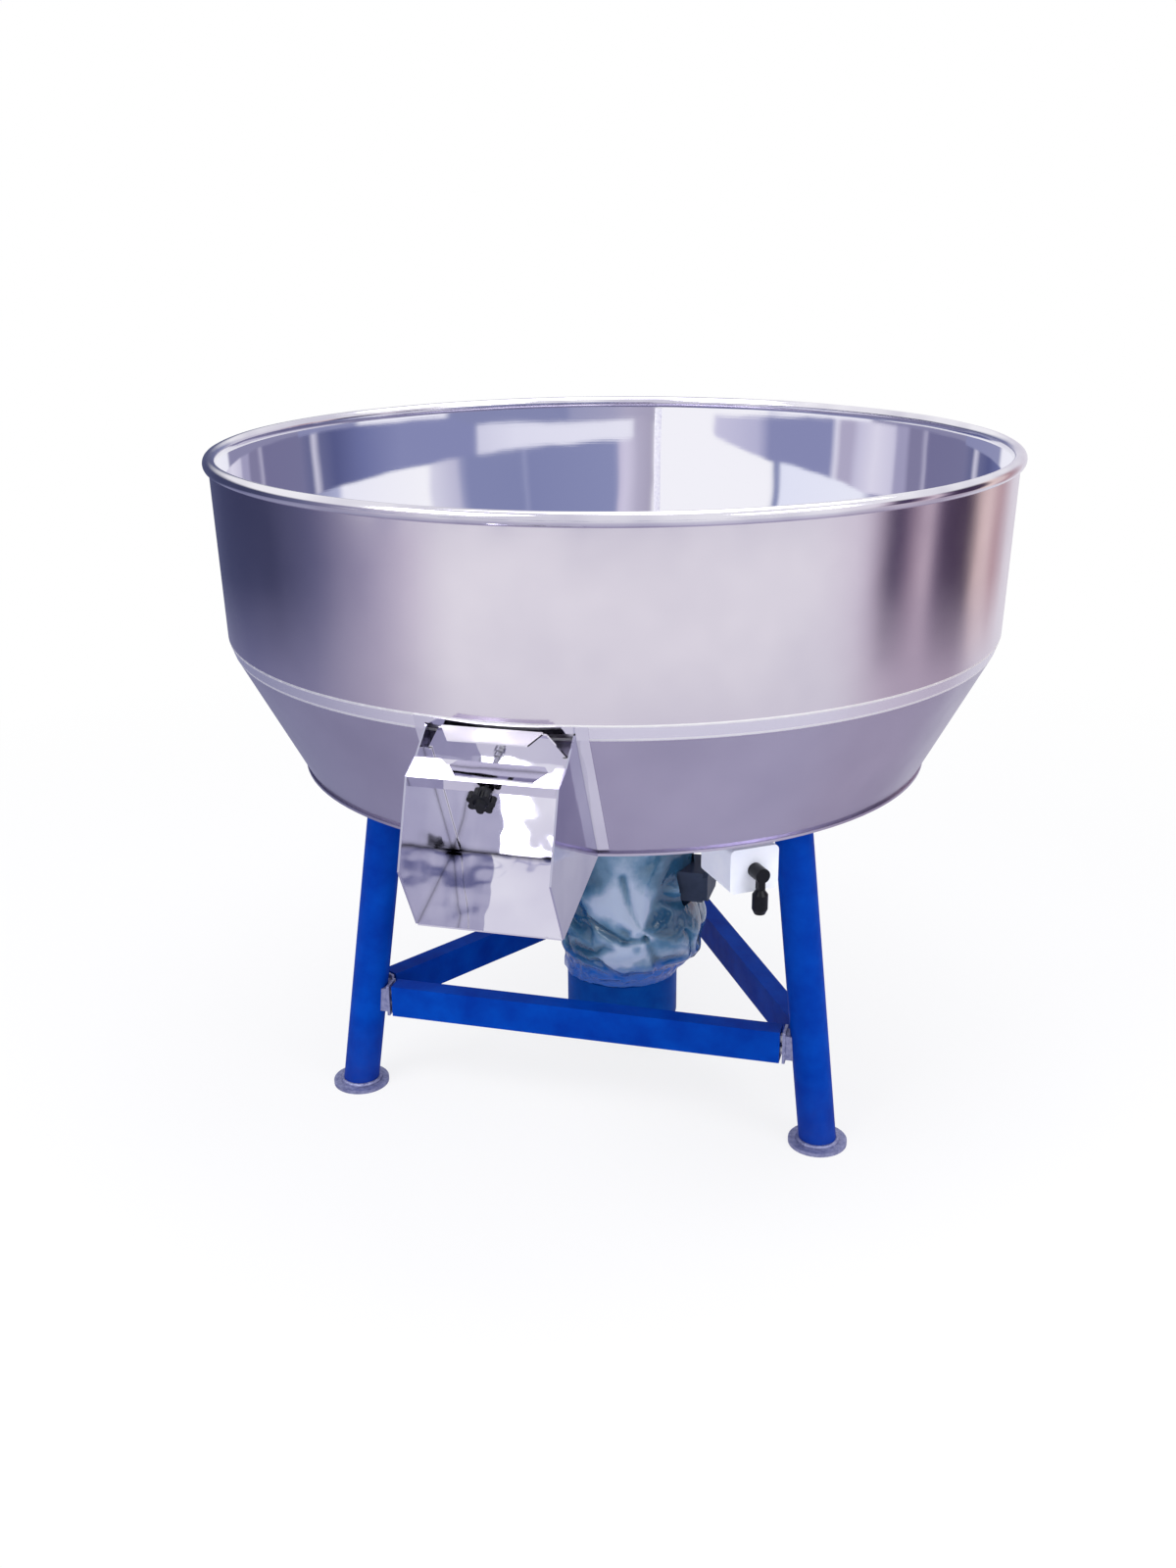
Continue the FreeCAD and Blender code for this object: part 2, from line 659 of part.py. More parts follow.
def build_chute(form):
    inside = chute_half_width - chute_sheet
    middle = chute_half_width - chute_sheet / 2
    side_plate("chute_left_side", -middle, form)
    side_plate("chute_right_side", middle, form)
    floor_start = (neck_foot / 2, neck_foot / 2)
    floor_strip = strip(floor_start, (lip_up, lip_out), chute_sheet)
    floor_body = on_cone(folded("chute_floor_blank", floor_strip, inside), 0, 0, 0)
    node("chute_floor", cut("chute_floor", floor_body, form))
    bar_blank = on_cone(folded("clamp_bar_blank", [
        (bar_back_up - bar_fold, bar_back_out),
        (bar_back_up, bar_back_out),
        (bar_front_up, bar_front_out),
        (bar_front_up - bar_flange, bar_front_out),
        (bar_front_up - bar_flange, bar_front_out - chute_sheet),
        (bar_front_up - chute_sheet, bar_front_out - chute_sheet),
        (bar_back_up - chute_sheet, bar_back_out + chute_sheet),
        (bar_back_up - bar_fold, bar_back_out + chute_sheet)], inside), 0, 0, 0)
    reach = bar_front_out - bar_back_out + chute_sheet * 2
    hole = cylinder("screw_hole", screw_radius + screw_hole_gap, reach)
    on_cone(hole, screw_side, screw_up, bar_back_out - chute_sheet)
    node("clamp_bar", cut("clamp_bar", bar_blank, hole))
    rails = []
    for side in (-1, 1):
        rail = box(f"gate_rail_{side + 1}", rail_width, rail_length, chute_sheet)
        left = inside - rail_width if side > 0 else -inside
        rails.append(on_cone(rail, left, rail_foot, neck_depth + gate_thickness + gate_face_gap))
    node("gate_guides", group("gate_guides", rails))


def build_gate():
    half = chute_half_width - chute_sheet - gate_side_gap
    length = gate_top - gate_foot
    body = add("PartDesign::Body", "gate_plate")
    blank = outline(body, "XY_Plane", "gate_outline", [
        (-half, -length),
        (half, -length),
        (half, -gate_corner_drop),
        (gate_top_half, 0),
        (-gate_top_half, 0),
        (-half, -gate_corner_drop)])
    pad = body.newObject("PartDesign::Pad", "gate_pad")
    pad.Profile = blank
    bind(pad, Length=gate_thickness)
    fold = outline(body, "XZ_Plane", "gate_handle_outline", [
        (-handle_root_half, 0),
        (handle_root_half, 0),
        (handle_root_half, gate_thickness),
        (handle_tip_half, handle_depth),
        (-handle_tip_half, handle_depth),
        (-handle_root_half, gate_thickness)])
    handle = body.newObject("PartDesign::Pad", "gate_handle")
    handle.Profile = fold
    handle.Reversed = True
    bind(handle, Length=gate_thickness)
    node("gate_plate", on_cone(body, 0, gate_top, neck_depth))


def build_clamp():
    pad_low = neck_depth + gate_thickness + pad_gap
    pad_top = pad_low + pad_thickness + pad_boss_height
    socket_low = pad_low + pad_thickness
    pad = turned("pressure_pad", [
        (0, 0),
        (pad_radius, 0),
        (pad_radius, pad_thickness),
        (pad_boss_radius, pad_thickness),
        (pad_boss_radius, pad_thickness + pad_boss_height),
        (screw_tip_radius + screw_tip_fit, pad_thickness + pad_boss_height),
        (screw_tip_radius + screw_tip_fit, pad_thickness),
        (0, pad_thickness)])
    node("pressure_pad", on_cone(pad, screw_side, screw_up, pad_low))
    tip_low = socket_low + screw_tip_fit
    head = knob_out + knob_neck
    shoulder = pad_top + screw_tip_fit - tip_low
    screw = turned("clamp_screw", [
        (0, 0),
        (screw_tip_radius, 0),
        (screw_tip_radius, shoulder),
        (screw_radius, shoulder),
        (screw_radius, head - tip_low),
        (0, head - tip_low)])
    node("clamp_screw", on_cone(screw, screw_side, screw_up, tip_low))
    blank = hexagon("clamp_nut_blank", nut_half_flats, nut_depth)
    bore = cylinder("clamp_nut_bore", screw_radius + screw_fit, nut_depth)
    nut = cut("clamp_nut", blank, bore)
    nut_low = bar_front_out - chute_sheet - nut_depth
    node("clamp_nut", on_cone(nut, screw_side, screw_up, nut_low))
    build_knob(head)


def build_knob(head):
    core = cylinder("knob_core", knob_radius, knob_height)
    seat(core, 0, 0, knob_neck)
    lobes = []
    for index in range(7):
        lobe = cylinder(f"knob_lobe_{index}", knob_lobe_radius, knob_height)
        lobes.append(around(lobe, knob_radius, 0, knob_neck, 360 * index / 7))
    neck = cylinder("knob_neck", knob_neck_radius, knob_neck)
    crown = add("Part::Cone", "knob_crown")
    bind(crown, Radius1=knob_crown_radius, Radius2=knob_crown_radius * 0.7, Height=knob_crown)
    seat(crown, 0, 0, knob_neck + knob_height)
    bore = cylinder("knob_bore", screw_radius, knob_neck)
    knob = cut("clamp_knob", fuse("knob_blank", core, neck, crown, *lobes), bore)
    node("clamp_knob", on_cone(knob, screw_side, screw_up, knob_out))


# Legs, feet and braces

def leg_axis_radius(level):
    return foot_circle - level * tangent(leg_lean)


def leg_rod(name, radius, angle):
    """A long rod on a leg's axis, from below the ground to above the pan floor."""
    spare = leg_radius
    rod = cylinder(name, radius, (floor_height + spare * 2) / cosine(leg_lean))
    return around(rod, leg_axis_radius(-spare), 0, -spare, angle, tilt=-leg_lean)


def build_legs():
    rods = []
    feet = []
    heads = []
    head_z = floor_under_z - head_thickness
    slab = box("leg_slab", foot_circle * 3, foot_circle * 3, head_z - foot_thickness)
    seat(slab, foot_circle * -1.5, foot_circle * -1.5, foot_thickness)
    for place, angle in (("left", 210), ("right", 330), ("rear", 90)):
        rod = leg_rod(f"leg_{place}_rod", leg_radius, angle)
        bore = leg_rod(f"leg_{place}_bore", leg_radius - leg_wall, angle)
        tube_blank = cut(f"leg_{place}_tube", rod, bore)
        node(f"leg_{place}", common(f"leg_{place}", tube_blank, slab))
        foot = cylinder(f"foot_{place}", foot_radius, foot_thickness)
        feet.append(around(foot, leg_axis_radius(foot_thickness), 0, 0, angle))
        head = box(f"leg_head_{place}", head_width, head_width, head_thickness)
        middle = leg_axis_radius(head_z)
        heads.append(around(head, middle - head_width / 2, head_width / -2, head_z, angle))
        rods.append(rod)
    node("feet", group("feet", feet))
    node("leg_heads", group("leg_heads", heads))
    return rods


def build_braces(rods):
    """Three hollow braces in a triangle, bolted to lugs that are welded to the legs."""
    corner = leg_axis_radius(brace_height)
    half_span = corner * sine(60)
    offset = corner * cosine(60)
    stub_end = half_span - leg_radius - lug_stand
    lug_end = stub_end - lug_thickness
    end_plate = lug_end - lug_gap
    beam_half = end_plate - lug_thickness
    lugs = []
    bolts = []
    for number_of_brace, place in enumerate(("front", "right", "left")):
        turn = 120 * number_of_brace

        def in_side(item, x, y, z, roll=0, tilt=0, turn=turn):
            return around(item, x, y - offset, brace_height + z, turn, tilt, roll)
        solid = box(f"brace_{place}_solid", beam_half * 2, brace_width, brace_depth)
        in_side(solid, -beam_half, brace_width / -2, brace_depth / -2)
        hollow = box(f"brace_{place}_hollow", beam_half * 2, brace_width - brace_wall * 2,
                     brace_depth - brace_wall * 2)
        in_side(hollow, -beam_half, brace_width / -2 + brace_wall, brace_depth / -2 + brace_wall)
        beam = cut(f"brace_{place}_beam", solid, hollow)
        plates = []
        for side in (-1, 1):
            tag = f"{place}_{side + 1}"
            start = beam_half if side > 0 else -end_plate
            plate = box(f"brace_plate_{tag}", lug_thickness, brace_width, brace_depth)
            plates.append(in_side(plate, start, brace_width / -2, brace_depth / -2))
            start = lug_end if side > 0 else -stub_end
            lug = box(f"lug_plate_{tag}", lug_thickness, brace_width, brace_depth)
            in_side(lug, start, brace_width / -2, brace_depth / -2)
            start = stub_end if side > 0 else -half_span
            stub = box(f"lug_stub_{tag}", half_span - stub_end, stub_width, stub_depth)
            in_side(stub, start, stub_width / -2, stub_depth / -2)
            hole = box(f"lug_hole_{tag}", half_span - stub_end, stub_width - stub_wall * 2,
                       stub_depth - stub_wall * 2)
            in_side(hole, start, stub_width / -2 + stub_wall, stub_depth / -2 + stub_wall)
            leg = rods[(number_of_brace + (1 if side > 0 else 0)) % 3]
            stub = cut(f"lug_stub_open_{tag}", stub, hole, leg)
            lugs.append(fuse(f"lug_{tag}", lug, stub))
            for level in (-1, 1):
                low = beam_half if side > 0 else -stub_end
                z = bolt_spread * level
                bolts.append(build_brace_bolt(f"{tag}_{level + 1}", in_side, low, z))
        node(f"brace_{place}", fuse(f"brace_{place}", beam, *plates))
    node("brace_lugs", group("brace_lugs", lugs))
    node("brace_bolts", group("brace_bolts", bolts))


def build_brace_bolt(tag, in_side, low, z):
    """Head, spacer and nut of one bolt. The plates hide its shank."""
    stack = lug_thickness * 2 + lug_gap
    head = hexagon(f"bolt_head_{tag}", bolt_half_flats, bolt_head_height)
    in_side(head, low - bolt_head_height, 0, z, tilt=90)
    spacer = cylinder(f"bolt_spacer_{tag}", bolt_spacer_radius, lug_gap)
    in_side(spacer, low + lug_thickness, 0, z, tilt=90)
    nut = hexagon(f"bolt_nut_{tag}", bolt_half_flats, bolt_head_height)
    in_side(nut, low + stack, 0, z, tilt=90)
    return group(f"bolt_{tag}", [head, spacer, nut])


def patterned(body, feature, name, count):
    """Repeat one feature of a body all round its own Z axis."""
    pattern = body.newObject("PartDesign::PolarPattern", name)
    pattern.Originals = [feature]
    pattern.Axis = (feature.Profile[0], ["N_Axis"])
    pattern.Angle = 360
    pattern.Occurrences = count
    body.Tip = pattern
    return pattern


# Gearbox

output_gear_z = case_top_z - case_roof - output_bearing_width * 2 - output_bearing_span \
    - gear_gap - coarse_width
lay_gear_z = case_foot_z + gear_gap * 2
case_inner = coarse_module * (output_teeth + 2) / 2 + case_gap
case_span = lay_x + fine_module * (lay_teeth + 2) / 2 + case_gap - case_inner
motor_port_radius = fine_module * (pinion_teeth + 2) / 2 + shaft_step * 50


def build_gearbox():
    plate = tube("drive_plate", drive_plate_radius, shaft_port_radius, drive_plate_thickness)
    node("drive_plate", seat(plate, z=case_top_z))
    roof_z = case_height - case_roof
    outside = obround("case_outside", case_inner + case_wall, case_span, case_height)
    inside = obround("case_inside", case_inner, case_span, roof_z)
    output_stack = output_bearing_width * 2 + output_bearing_span
    output_boss = cylinder("output_boss", output_bearing_radius + boss_wall, output_stack)
    seat(output_boss, z=roof_z - output_stack)
    lay_boss = cylinder("lay_boss", lay_bearing_radius + boss_wall, lay_bearing_width)
    seat(lay_boss, lay_x, 0, roof_z - lay_bearing_width)
    output_seat = cylinder("output_seat", output_bearing_radius, output_stack)
    seat(output_seat, z=roof_z - output_stack)
    lay_seat = cylinder("lay_seat", lay_bearing_radius, lay_bearing_width)
    seat(lay_seat, lay_x, 0, roof_z - lay_bearing_width)
    port = seat(cylinder("case_port", shaft_port_radius, case_height), z=roof_z)
    shell = cut("case_shell", outside, inside)
    casting = fuse("case_casting", shell, output_boss, lay_boss)
    housing = cut("gearbox_housing", casting, output_seat, lay_seat, port)
    node("gearbox_housing", seat(housing, z=case_foot_z))
    cover = obround("cover_blank", case_inner + case_wall, case_span, cover_thickness)
    pocket = cylinder("cover_pocket", lay_bearing_radius, lay_bearing_width)
    seat(pocket, lay_x, 0, cover_thickness - lay_bearing_width)
    motor_port = seat(cylinder("motor_port", motor_port_radius, cover_thickness), motor_x, 0, 0)
    cover = cut("gearbox_cover", cover, pocket, motor_port)
    node("gearbox_cover", seat(cover, z=cover_foot_z))
    roof_level = case_top_z - case_roof
    rings = []
    for index, (x, z, outer, shaft, width) in enumerate((
            (0, roof_level - output_bearing_width, output_bearing_radius, output_radius,
             output_bearing_width),
            (0, roof_level - output_stack, output_bearing_radius, output_radius,
             output_bearing_width),
            (lay_x, roof_level - lay_bearing_width, lay_bearing_radius, lay_radius,
             lay_bearing_width),
            (lay_x, case_foot_z - lay_bearing_width, lay_bearing_radius, lay_radius,
             lay_bearing_width))):
        ring = tube(f"gearbox_bearing_{index}", outer, shaft + shaft_step, width)
        rings.append(seat(ring, x, 0, z))
    node("gearbox_bearings", group("gearbox_bearings", rings))


def build_layshaft():
    low = case_foot_z - lay_bearing_width + shaft_step * 10
    high = case_top_z - case_roof - shaft_step * 10
    neck = coarse_module * (pinion_teeth / 2 - 1.2)
    tooth_low = output_gear_z - gear_gap / 3
    tooth_width = coarse_width + gear_gap * 2 / 3
    shaft = turned("layshaft_core", [
        (0, 0),
        (lay_radius, 0),
        (lay_radius, tooth_low - low),
        (neck, tooth_low - low),
        (neck, tooth_low + tooth_width - low),
        (lay_radius, tooth_low + tooth_width - low),
        (lay_radius, high - low),
        (0, high - low)])
    seat(shaft, lay_x, 0, low)
    teeth = toothed_wheel(pinion_teeth, coarse_module, tooth_width, None, 180 / pinion_teeth)
    teeth = shaped("layshaft_teeth", teeth, lay_x, 0, tooth_low)
    node("layshaft", fuse("layshaft", shaft, teeth))
    gear = toothed_wheel(lay_teeth, fine_module, fine_width, lay_radius, 0)
    node("lay_gear", shaped("lay_gear", gear, lay_x, 0, lay_gear_z))


# Motor

def build_motor():
    shaft_port = motor_port_radius
    flange = turned("motor_flange", [
        (motor_bearing_radius, 0),
        (motor_radius, 0),
        (motor_radius, motor_flange_thickness),
        (shaft_port, motor_flange_thickness),
        (shaft_port, motor_bearing_width + 2),
        (motor_bearing_radius, motor_bearing_width + 2)])
    node("motor_flange", seat(flange, motor_x, 0, flange_foot_z))
    frame_outer = motor_radius - fin_height
    frame = tube("motor_frame", frame_outer, motor_bore, motor_frame_length)
    fin_sketch = outline(frame, "XY_Plane", "fin_outline", [
        (frame_outer - 1, fin_width / -2),
        (motor_radius, fin_width / -2),
        (motor_radius, fin_width / 2),
        (frame_outer - 1, fin_width / 2)])
    fin = frame.newObject("PartDesign::Pad", "fin")
    fin.Profile = fin_sketch
    bind(fin, Length=motor_frame_length)
    patterned(frame, fin, "fins", 36)
    node("motor_frame", seat(frame, motor_x, 0, frame_foot_z))
    core_z = flange_foot_z - core_inset - core_length
    stator = tube("stator_core", motor_bore, rotor_radius + air_gap, core_length)
    node("stator_core", seat(stator, motor_x, 0, core_z))
    shield_outer = motor_radius - cowl_wall
    shield = turned("motor_end_shield", [
        (motor_seat_radius + 2, 0),
        (shield_outer, 0),
        (shield_outer, end_shield_thickness),
        (motor_bearing_radius, end_shield_thickness),
        (motor_bearing_radius, 2),
        (motor_seat_radius + 2, 2)])
    node("motor_end_shield", seat(shield, motor_x, 0, shield_foot_z))
    rings = []
    for index, level in enumerate((flange_foot_z + 2, shield_foot_z + 2)):
        ring = tube(f"motor_bearing_{index}", motor_bearing_radius,
                    motor_seat_radius + shaft_step, motor_bearing_width)
        rings.append(seat(ring, motor_x, 0, level))
    node("motor_bearings", group("motor_bearings", rings))
    build_cowl()
    build_terminal_box()


def build_cowl():
    corner = cowl_wall * 3
    cowl = turned("fan_cowl", [
        (0, 0),
        (motor_radius - corner, 0),
        (motor_radius, corner),
        (motor_radius, cowl_length),
        (motor_radius - cowl_wall, cowl_length),
        (motor_radius - cowl_wall, corner + cowl_wall / 2),
        (motor_radius - corner - cowl_wall / 2, cowl_wall),
        (0, cowl_wall)])
    slot_sketch = outline(cowl, "XY_Plane", "slot_outline", [
        (cowl_slot_start, cowl_slot_width / -2),
        (cowl_slot_start + cowl_slot_length, cowl_slot_width / -2),
        (cowl_slot_start + cowl_slot_length, cowl_slot_width / 2),
        (cowl_slot_start, cowl_slot_width / 2)])
    slot = cowl.newObject("PartDesign::Pocket", "slot")
    slot.Profile = slot_sketch
    slot.Reversed = True
    bind(slot, Length=cowl_wall * 2)
    patterned(cowl, slot, "slots", 16)
    node("fan_cowl", seat(cowl, motor_x, 0, cowl_foot_z))


def build_terminal_box():
    start = motor_radius * 0.8
    reach = motor_radius + terminal_reach - terminal_lid_thickness
    inner_width = terminal_width - terminal_wall * 2
    inner_height = terminal_height - terminal_wall * 2
    outside = box("terminal_outside", reach - start, terminal_width, terminal_height)
    seat(outside, start, terminal_width / -2, 0)
    inside = box("terminal_inside", terminal_reach, inner_width, inner_height)
    seat(inside, motor_radius + terminal_wall, inner_width / -2, terminal_wall)
    saddle = cylinder("terminal_saddle", motor_radius + fin_clearance, motor_radius * 2)
    seat(saddle, z=-motor_radius / 2)
    case = cut("terminal_box", outside, inside, saddle)
    level = flange_foot_z - terminal_drop - terminal_height
    node("terminal_box", seat(case, motor_x, 0, level))
    slope = terminal_lid_thickness
    lid = add("PartDesign::Body", "terminal_lid")
    sketch = outline(lid, "YZ_Plane", "lid_outline", [
        (terminal_width / -2 + slope, 0),
        (terminal_width / 2 - slope, 0),
        (terminal_width / 2, slope),
        (terminal_width / 2, terminal_height - slope),
        (terminal_width / 2 - slope, terminal_height),
        (terminal_width / -2 + slope, terminal_height),
        (terminal_width / -2, terminal_height - slope),
        (terminal_width / -2, slope)])
    pad = lid.newObject("PartDesign::Pad", "lid_pad")
    pad.Profile = sketch
    bind(pad, Length=terminal_lid_thickness)
    node("terminal_lid", seat(lid, motor_x + reach, 0, level))


def build_rotor():
    low = cowl_foot_z + fan_lift - fan_disc
    core_z = flange_foot_z - core_inset - core_length
    tooth_low = case_foot_z + gear_gap
    tooth_high = lay_gear_z + fine_width + gear_gap / 2
    neck_radius = motor_port_radius * 0.75
    shaft = turned("motor_shaft_core", [
        (0, 0),
        (motor_seat_radius, 0),
        (motor_seat_radius, core_z - low),
        (motor_shaft_radius, core_z - low),
        (motor_shaft_radius, core_z + core_length - low),
        (motor_seat_radius, core_z + core_length - low),
        (motor_seat_radius, flange_foot_z + motor_bearing_width + 2 - low),
        (neck_radius, flange_foot_z + motor_bearing_width + 2 - low),
        (neck_radius, tooth_low - low),
        (pinion_shaft_radius, tooth_low - low),
        (pinion_shaft_radius, tooth_high - low),
        (0, tooth_high - low)])
    seat(shaft, motor_x, 0, low)
    teeth = toothed_wheel(pinion_teeth, fine_module, tooth_high - tooth_low, None,
                          180 / pinion_teeth)
    teeth = shaped("motor_shaft_teeth", teeth, motor_x, 0, tooth_low)
    node("motor_shaft", fuse("motor_shaft", shaft, teeth))
    rotor = tube("rotor_core", rotor_radius, motor_shaft_radius, core_length)
    node("rotor_core", seat(rotor, motor_x, 0, core_z))
    hub = tube("fan_hub", fan_hub_radius, motor_seat_radius, fan_blade_height + fan_disc)
    disc = seat(tube("fan_disc", fan_radius, motor_seat_radius, fan_disc), z=fan_blade_height)
    blades = []
    for index in range(8):
        blade = box(f"fan_blade_{index}", fan_radius - fan_hub_radius, fan_disc, fan_blade_height)
        blades.append(around(blade, fan_hub_radius - 1, fan_disc / -2, 0, 45 * index))
    fan = fuse("cooling_fan", hub, disc, *blades)
    node("cooling_fan", seat(fan, motor_x, 0, cowl_foot_z + fan_lift))


# Stirrer

hub_z = floor_height + seal_height + hub_gap


def build_seal():
    bore = output_radius + hub_gap / 2
    housing = turned("seal_housing", [
        (bore, 0),
        (seal_flange_radius, 0),
        (seal_flange_radius, seal_flange_thickness),
        (seal_body_radius, seal_flange_thickness),
        (seal_body_radius, seal_height),
        (seal_ring_radius, seal_height),
        (seal_ring_radius, seal_height - seal_ring_depth),
        (bore, seal_height - seal_ring_depth)])
    node("seal_housing", seat(housing, z=floor_height))
    ring = tube("shaft_seal", seal_ring_radius, output_radius + shaft_step, seal_ring_depth)
    node("shaft_seal", seat(ring, z=floor_height + seal_height - seal_ring_depth))


def build_stirrer():
    low = output_gear_z - gear_gap / 2
    top = hub_z + hub_height
    node("output_shaft", seat(cylinder("output_shaft", output_radius, top - low), z=low))
    gear = toothed_wheel(output_teeth, coarse_module, coarse_width, output_radius, 0)
    node("output_gear", shaped("output_gear", gear, 0, 0, output_gear_z))
    shoulder = hub_height * 0.7
    hub = turned("stirrer_hub", [
        (output_radius, 0),
        (hub_radius, 0),
        (hub_radius, shoulder),
        (cap_radius + 8, hub_height),
        (output_radius, hub_height)])
    node("stirrer_hub", seat(hub, z=hub_z))
    cap = turned("hub_cap", [
        (0, 0),
        (cap_radius, 0),
        (cap_radius, cap_height * 0.4),
        (cap_radius * 0.55, cap_height),
        (0, cap_height)])
    node("hub_cap", seat(cap, z=top))
    arm_z = floor_height + arm_lift
    stand_off = sheet_thickness + blade_gap + scraper_sheet
    arm_top = arm_lift + arm_depth
    arm_end = cone_foot_radius + arm_top * tangent(cone_angle) - stand_off / cosine(cone_angle) + 0.2
    core = seat(cylinder("hub_form", hub_radius, shoulder), z=hub_z)
    arms = []
    blades = []
    scrapers = []
    for index in range(arm_count):
        turn = arm_start + 360 * index / arm_count
        foot = blade_gap / 2
        plate = box(f"scraper_{index}", scraper_sheet, scraper_width, scraper_length)
        radius = cone_foot_radius + foot * sine(cone_angle) - stand_off * cosine(cone_angle)
        level = floor_height + foot * cosine(cone_angle) + stand_off * sine(cone_angle)
        scrapers.append(around(plate, radius, scraper_width / -2, level, turn, tilt=cone_angle))
        bar = box(f"arm_bar_{index}", arm_end - cap_radius, arm_width, arm_depth)
        around(bar, cap_radius, arm_width / -2, arm_z, turn)
        arms.append(cut(f"arm_{index}", bar, core, plate))
        for place in ((0, 2), (1,))[index % 2]:
            blade = box(f"plough_{index}_{place}", plough_length, plough_width, plough_sheet)
            radius = plough_first + plough_step * place
            level = floor_height + blade_gap + plough_sheet * cosine(plough_slope)
            around(blade, radius, plough_width / 2, level, turn, roll=180 - plough_slope)
            blades.append(cut(f"plough_blade_{index}_{place}", blade, bar))
    node("stirrer_arms", group("stirrer_arms", arms))
    node("plough_blades", group("plough_blades", blades))
    node("wall_scrapers", group("wall_scrapers", scrapers))


# Lever switch under the pan

def build_switch():
    axis_drop = switch_height / 2
    outside = rounded_block("switch_outside", switch_depth, switch_width, switch_height,
                            switch_corner)
    inside = rounded_block("switch_inside", switch_depth, switch_width - switch_wall * 2,
                           switch_height - switch_wall * 2, switch_corner - switch_wall)
    seat(inside, switch_wall, 0, -switch_wall)
    node("switch_box", at_switch(cut("switch_box", outside, inside),
                                 -switch_depth - switch_cover_thickness, 0, 0))
    face = rounded_block("switch_face", switch_cover_thickness, switch_width, switch_height,
                         switch_corner)
    bore = cylinder("switch_face_bore", switch_shaft_radius + shaft_step, switch_cover_thickness)
    seat(bore, 0, 0, -axis_drop, tilt=90)
    node("switch_cover", at_switch(cut("switch_cover", face, bore), -switch_cover_thickness, 0, 0))
    drum_back = -switch_cover_thickness - drum_length - 3
    drum = seat(cylinder("drum_body", drum_radius, drum_length), tilt=90)
    shaft_length = lever_gap + lever_hub_length * 0.8 - drum_back
    shaft = seat(cylinder("drum_shaft", switch_shaft_radius, shaft_length), tilt=90)
    node("switch_drum", at_switch(fuse("switch_drum", drum, shaft), drum_back, 0, axis_drop))
    block_height = switch_height / 2 - switch_wall - drum_radius - 1
    block = box("switch_contacts", drum_length, drum_radius * 2, block_height)
    node("switch_contacts", at_switch(block, drum_back, -drum_radius, switch_height - switch_wall))
    hub = seat(cylinder("lever_hub", lever_hub_radius, lever_hub_length), tilt=90)
    bore = seat(cylinder("lever_bore", switch_shaft_radius, lever_hub_length * 0.8), tilt=90)
    arm_out = lever_hub_length / 2
    arm = box("lever_arm", lever_arm_width, lever_arm_width, lever_arm_length)
    seat(arm, arm_out, lever_arm_width / -2, -lever_arm_length)
    lever = cut("switch_lever", fuse("lever_blank", hub, arm), bore)
    node("switch_lever", at_switch(lever, lever_gap, 0, axis_drop))
    grip = turned("lever_grip", [
        (0, 0),
        (grip_radius * 0.7, 0),
        (grip_radius, grip_length * 0.2),
        (grip_radius, grip_length * 0.8),
        (lever_arm_width * 0.6, grip_length),
        (0, grip_length)])
    node("lever_grip", at_switch(grip, lever_gap + arm_out + lever_arm_width / 2, 0,
                                 axis_drop + lever_arm_length + grip_length))
    thick = bracket_thickness
    bracket = folded("switch_bracket", [
        (0, 0),
        (bracket_flange, 0),
        (bracket_flange, thick),
        (thick, thick),
        (thick, switch_top - thick),
        (bracket_flange, switch_top - thick),
        (bracket_flange, switch_top),
        (0, switch_top)], bracket_width / 2)
    back = switch_cover_thickness + switch_corner
    x = switch_x - cosine(switch_turn) * back
    y = -switch_y - sine(switch_turn) * back
    node("switch_bracket", seat(bracket, x, y, floor_under_z - switch_top, turn=switch_turn + 90))


# Bag over the drive

def build_bag():
    outer = []
    inner = []
    for name, rise, middle, half_width in (
            ("mouth", 0, 2, 111),
            ("waist", 20, 8, 118),
            ("hip", 50, 16, 129),
            ("belly", 108, 22, 134),
            ("chest", 183.5, 8, 123),
            ("throat", 271.5, 10, 124),
            ("top", 411.5, 15, 121)):
        rise = size(f"bag_{name}_rise", rise, f"bag, height of its {name} over the mouth")
        middle = size(f"bag_{name}_middle", middle, f"bag, middle of its {name} from the motor axis")
        half_width = size(f"bag_{name}_half_width", half_width, f"bag, half its {name}")
        for rings, slack, tag in ((outer, 0, "outer"), (inner, bag_film, "inner")):
            ring = add("Part::RegularPolygon", f"bag_{name}_{tag}")
            ring.Polygon = bag_folds
            bind(ring, Circumradius=half_width - slack)
            rings.append(seat(ring, motor_x + middle, 0, bag_low + rise))
    shells = []
    for rings, tag in ((outer, "outer"), (inner, "inner")):
        loft = add("Part::Loft", f"bag_loft_{tag}")
        loft.Sections = rings
        loft.Solid = True
        loft.Ruled = True
        shells.append(loft)
    slit = box("bag_slit", motor_radius * 2, terminal_width + bag_slot_gap * 2,
               terminal_height + bag_slot_gap * 2)
    level = flange_foot_z - terminal_drop - terminal_height - bag_slot_gap
    seat(slit, motor_x + motor_radius * 0.7, terminal_width / -2 - bag_slot_gap, level)
    node("dust_bag", cut("dust_bag", shells[0], shells[1], slit))


def finish():
    doc.recompute()
    faults = []
    for item in doc.Objects:
        if "Invalid" in item.State or "Error" in item.State:
            faults.append(f"{item.Name} is {item.State}")
    for item in nodes:
        shape = item.Shape
        if shape.isNull() or not shape.isValid() or not shape.Solids:
            faults.append(f"{item.Label} has no sound solid")
    labels = [item.Label for item in nodes]
    if len(set(labels)) != len(labels):
        faults.append("two nodes share a name")
    if faults:
        raise SystemExit("\n".join(faults))
    for item in nodes:
        item.Shape.exportStep(f"parts/{item.Label}.step")
    print(len(nodes), "nodes written")


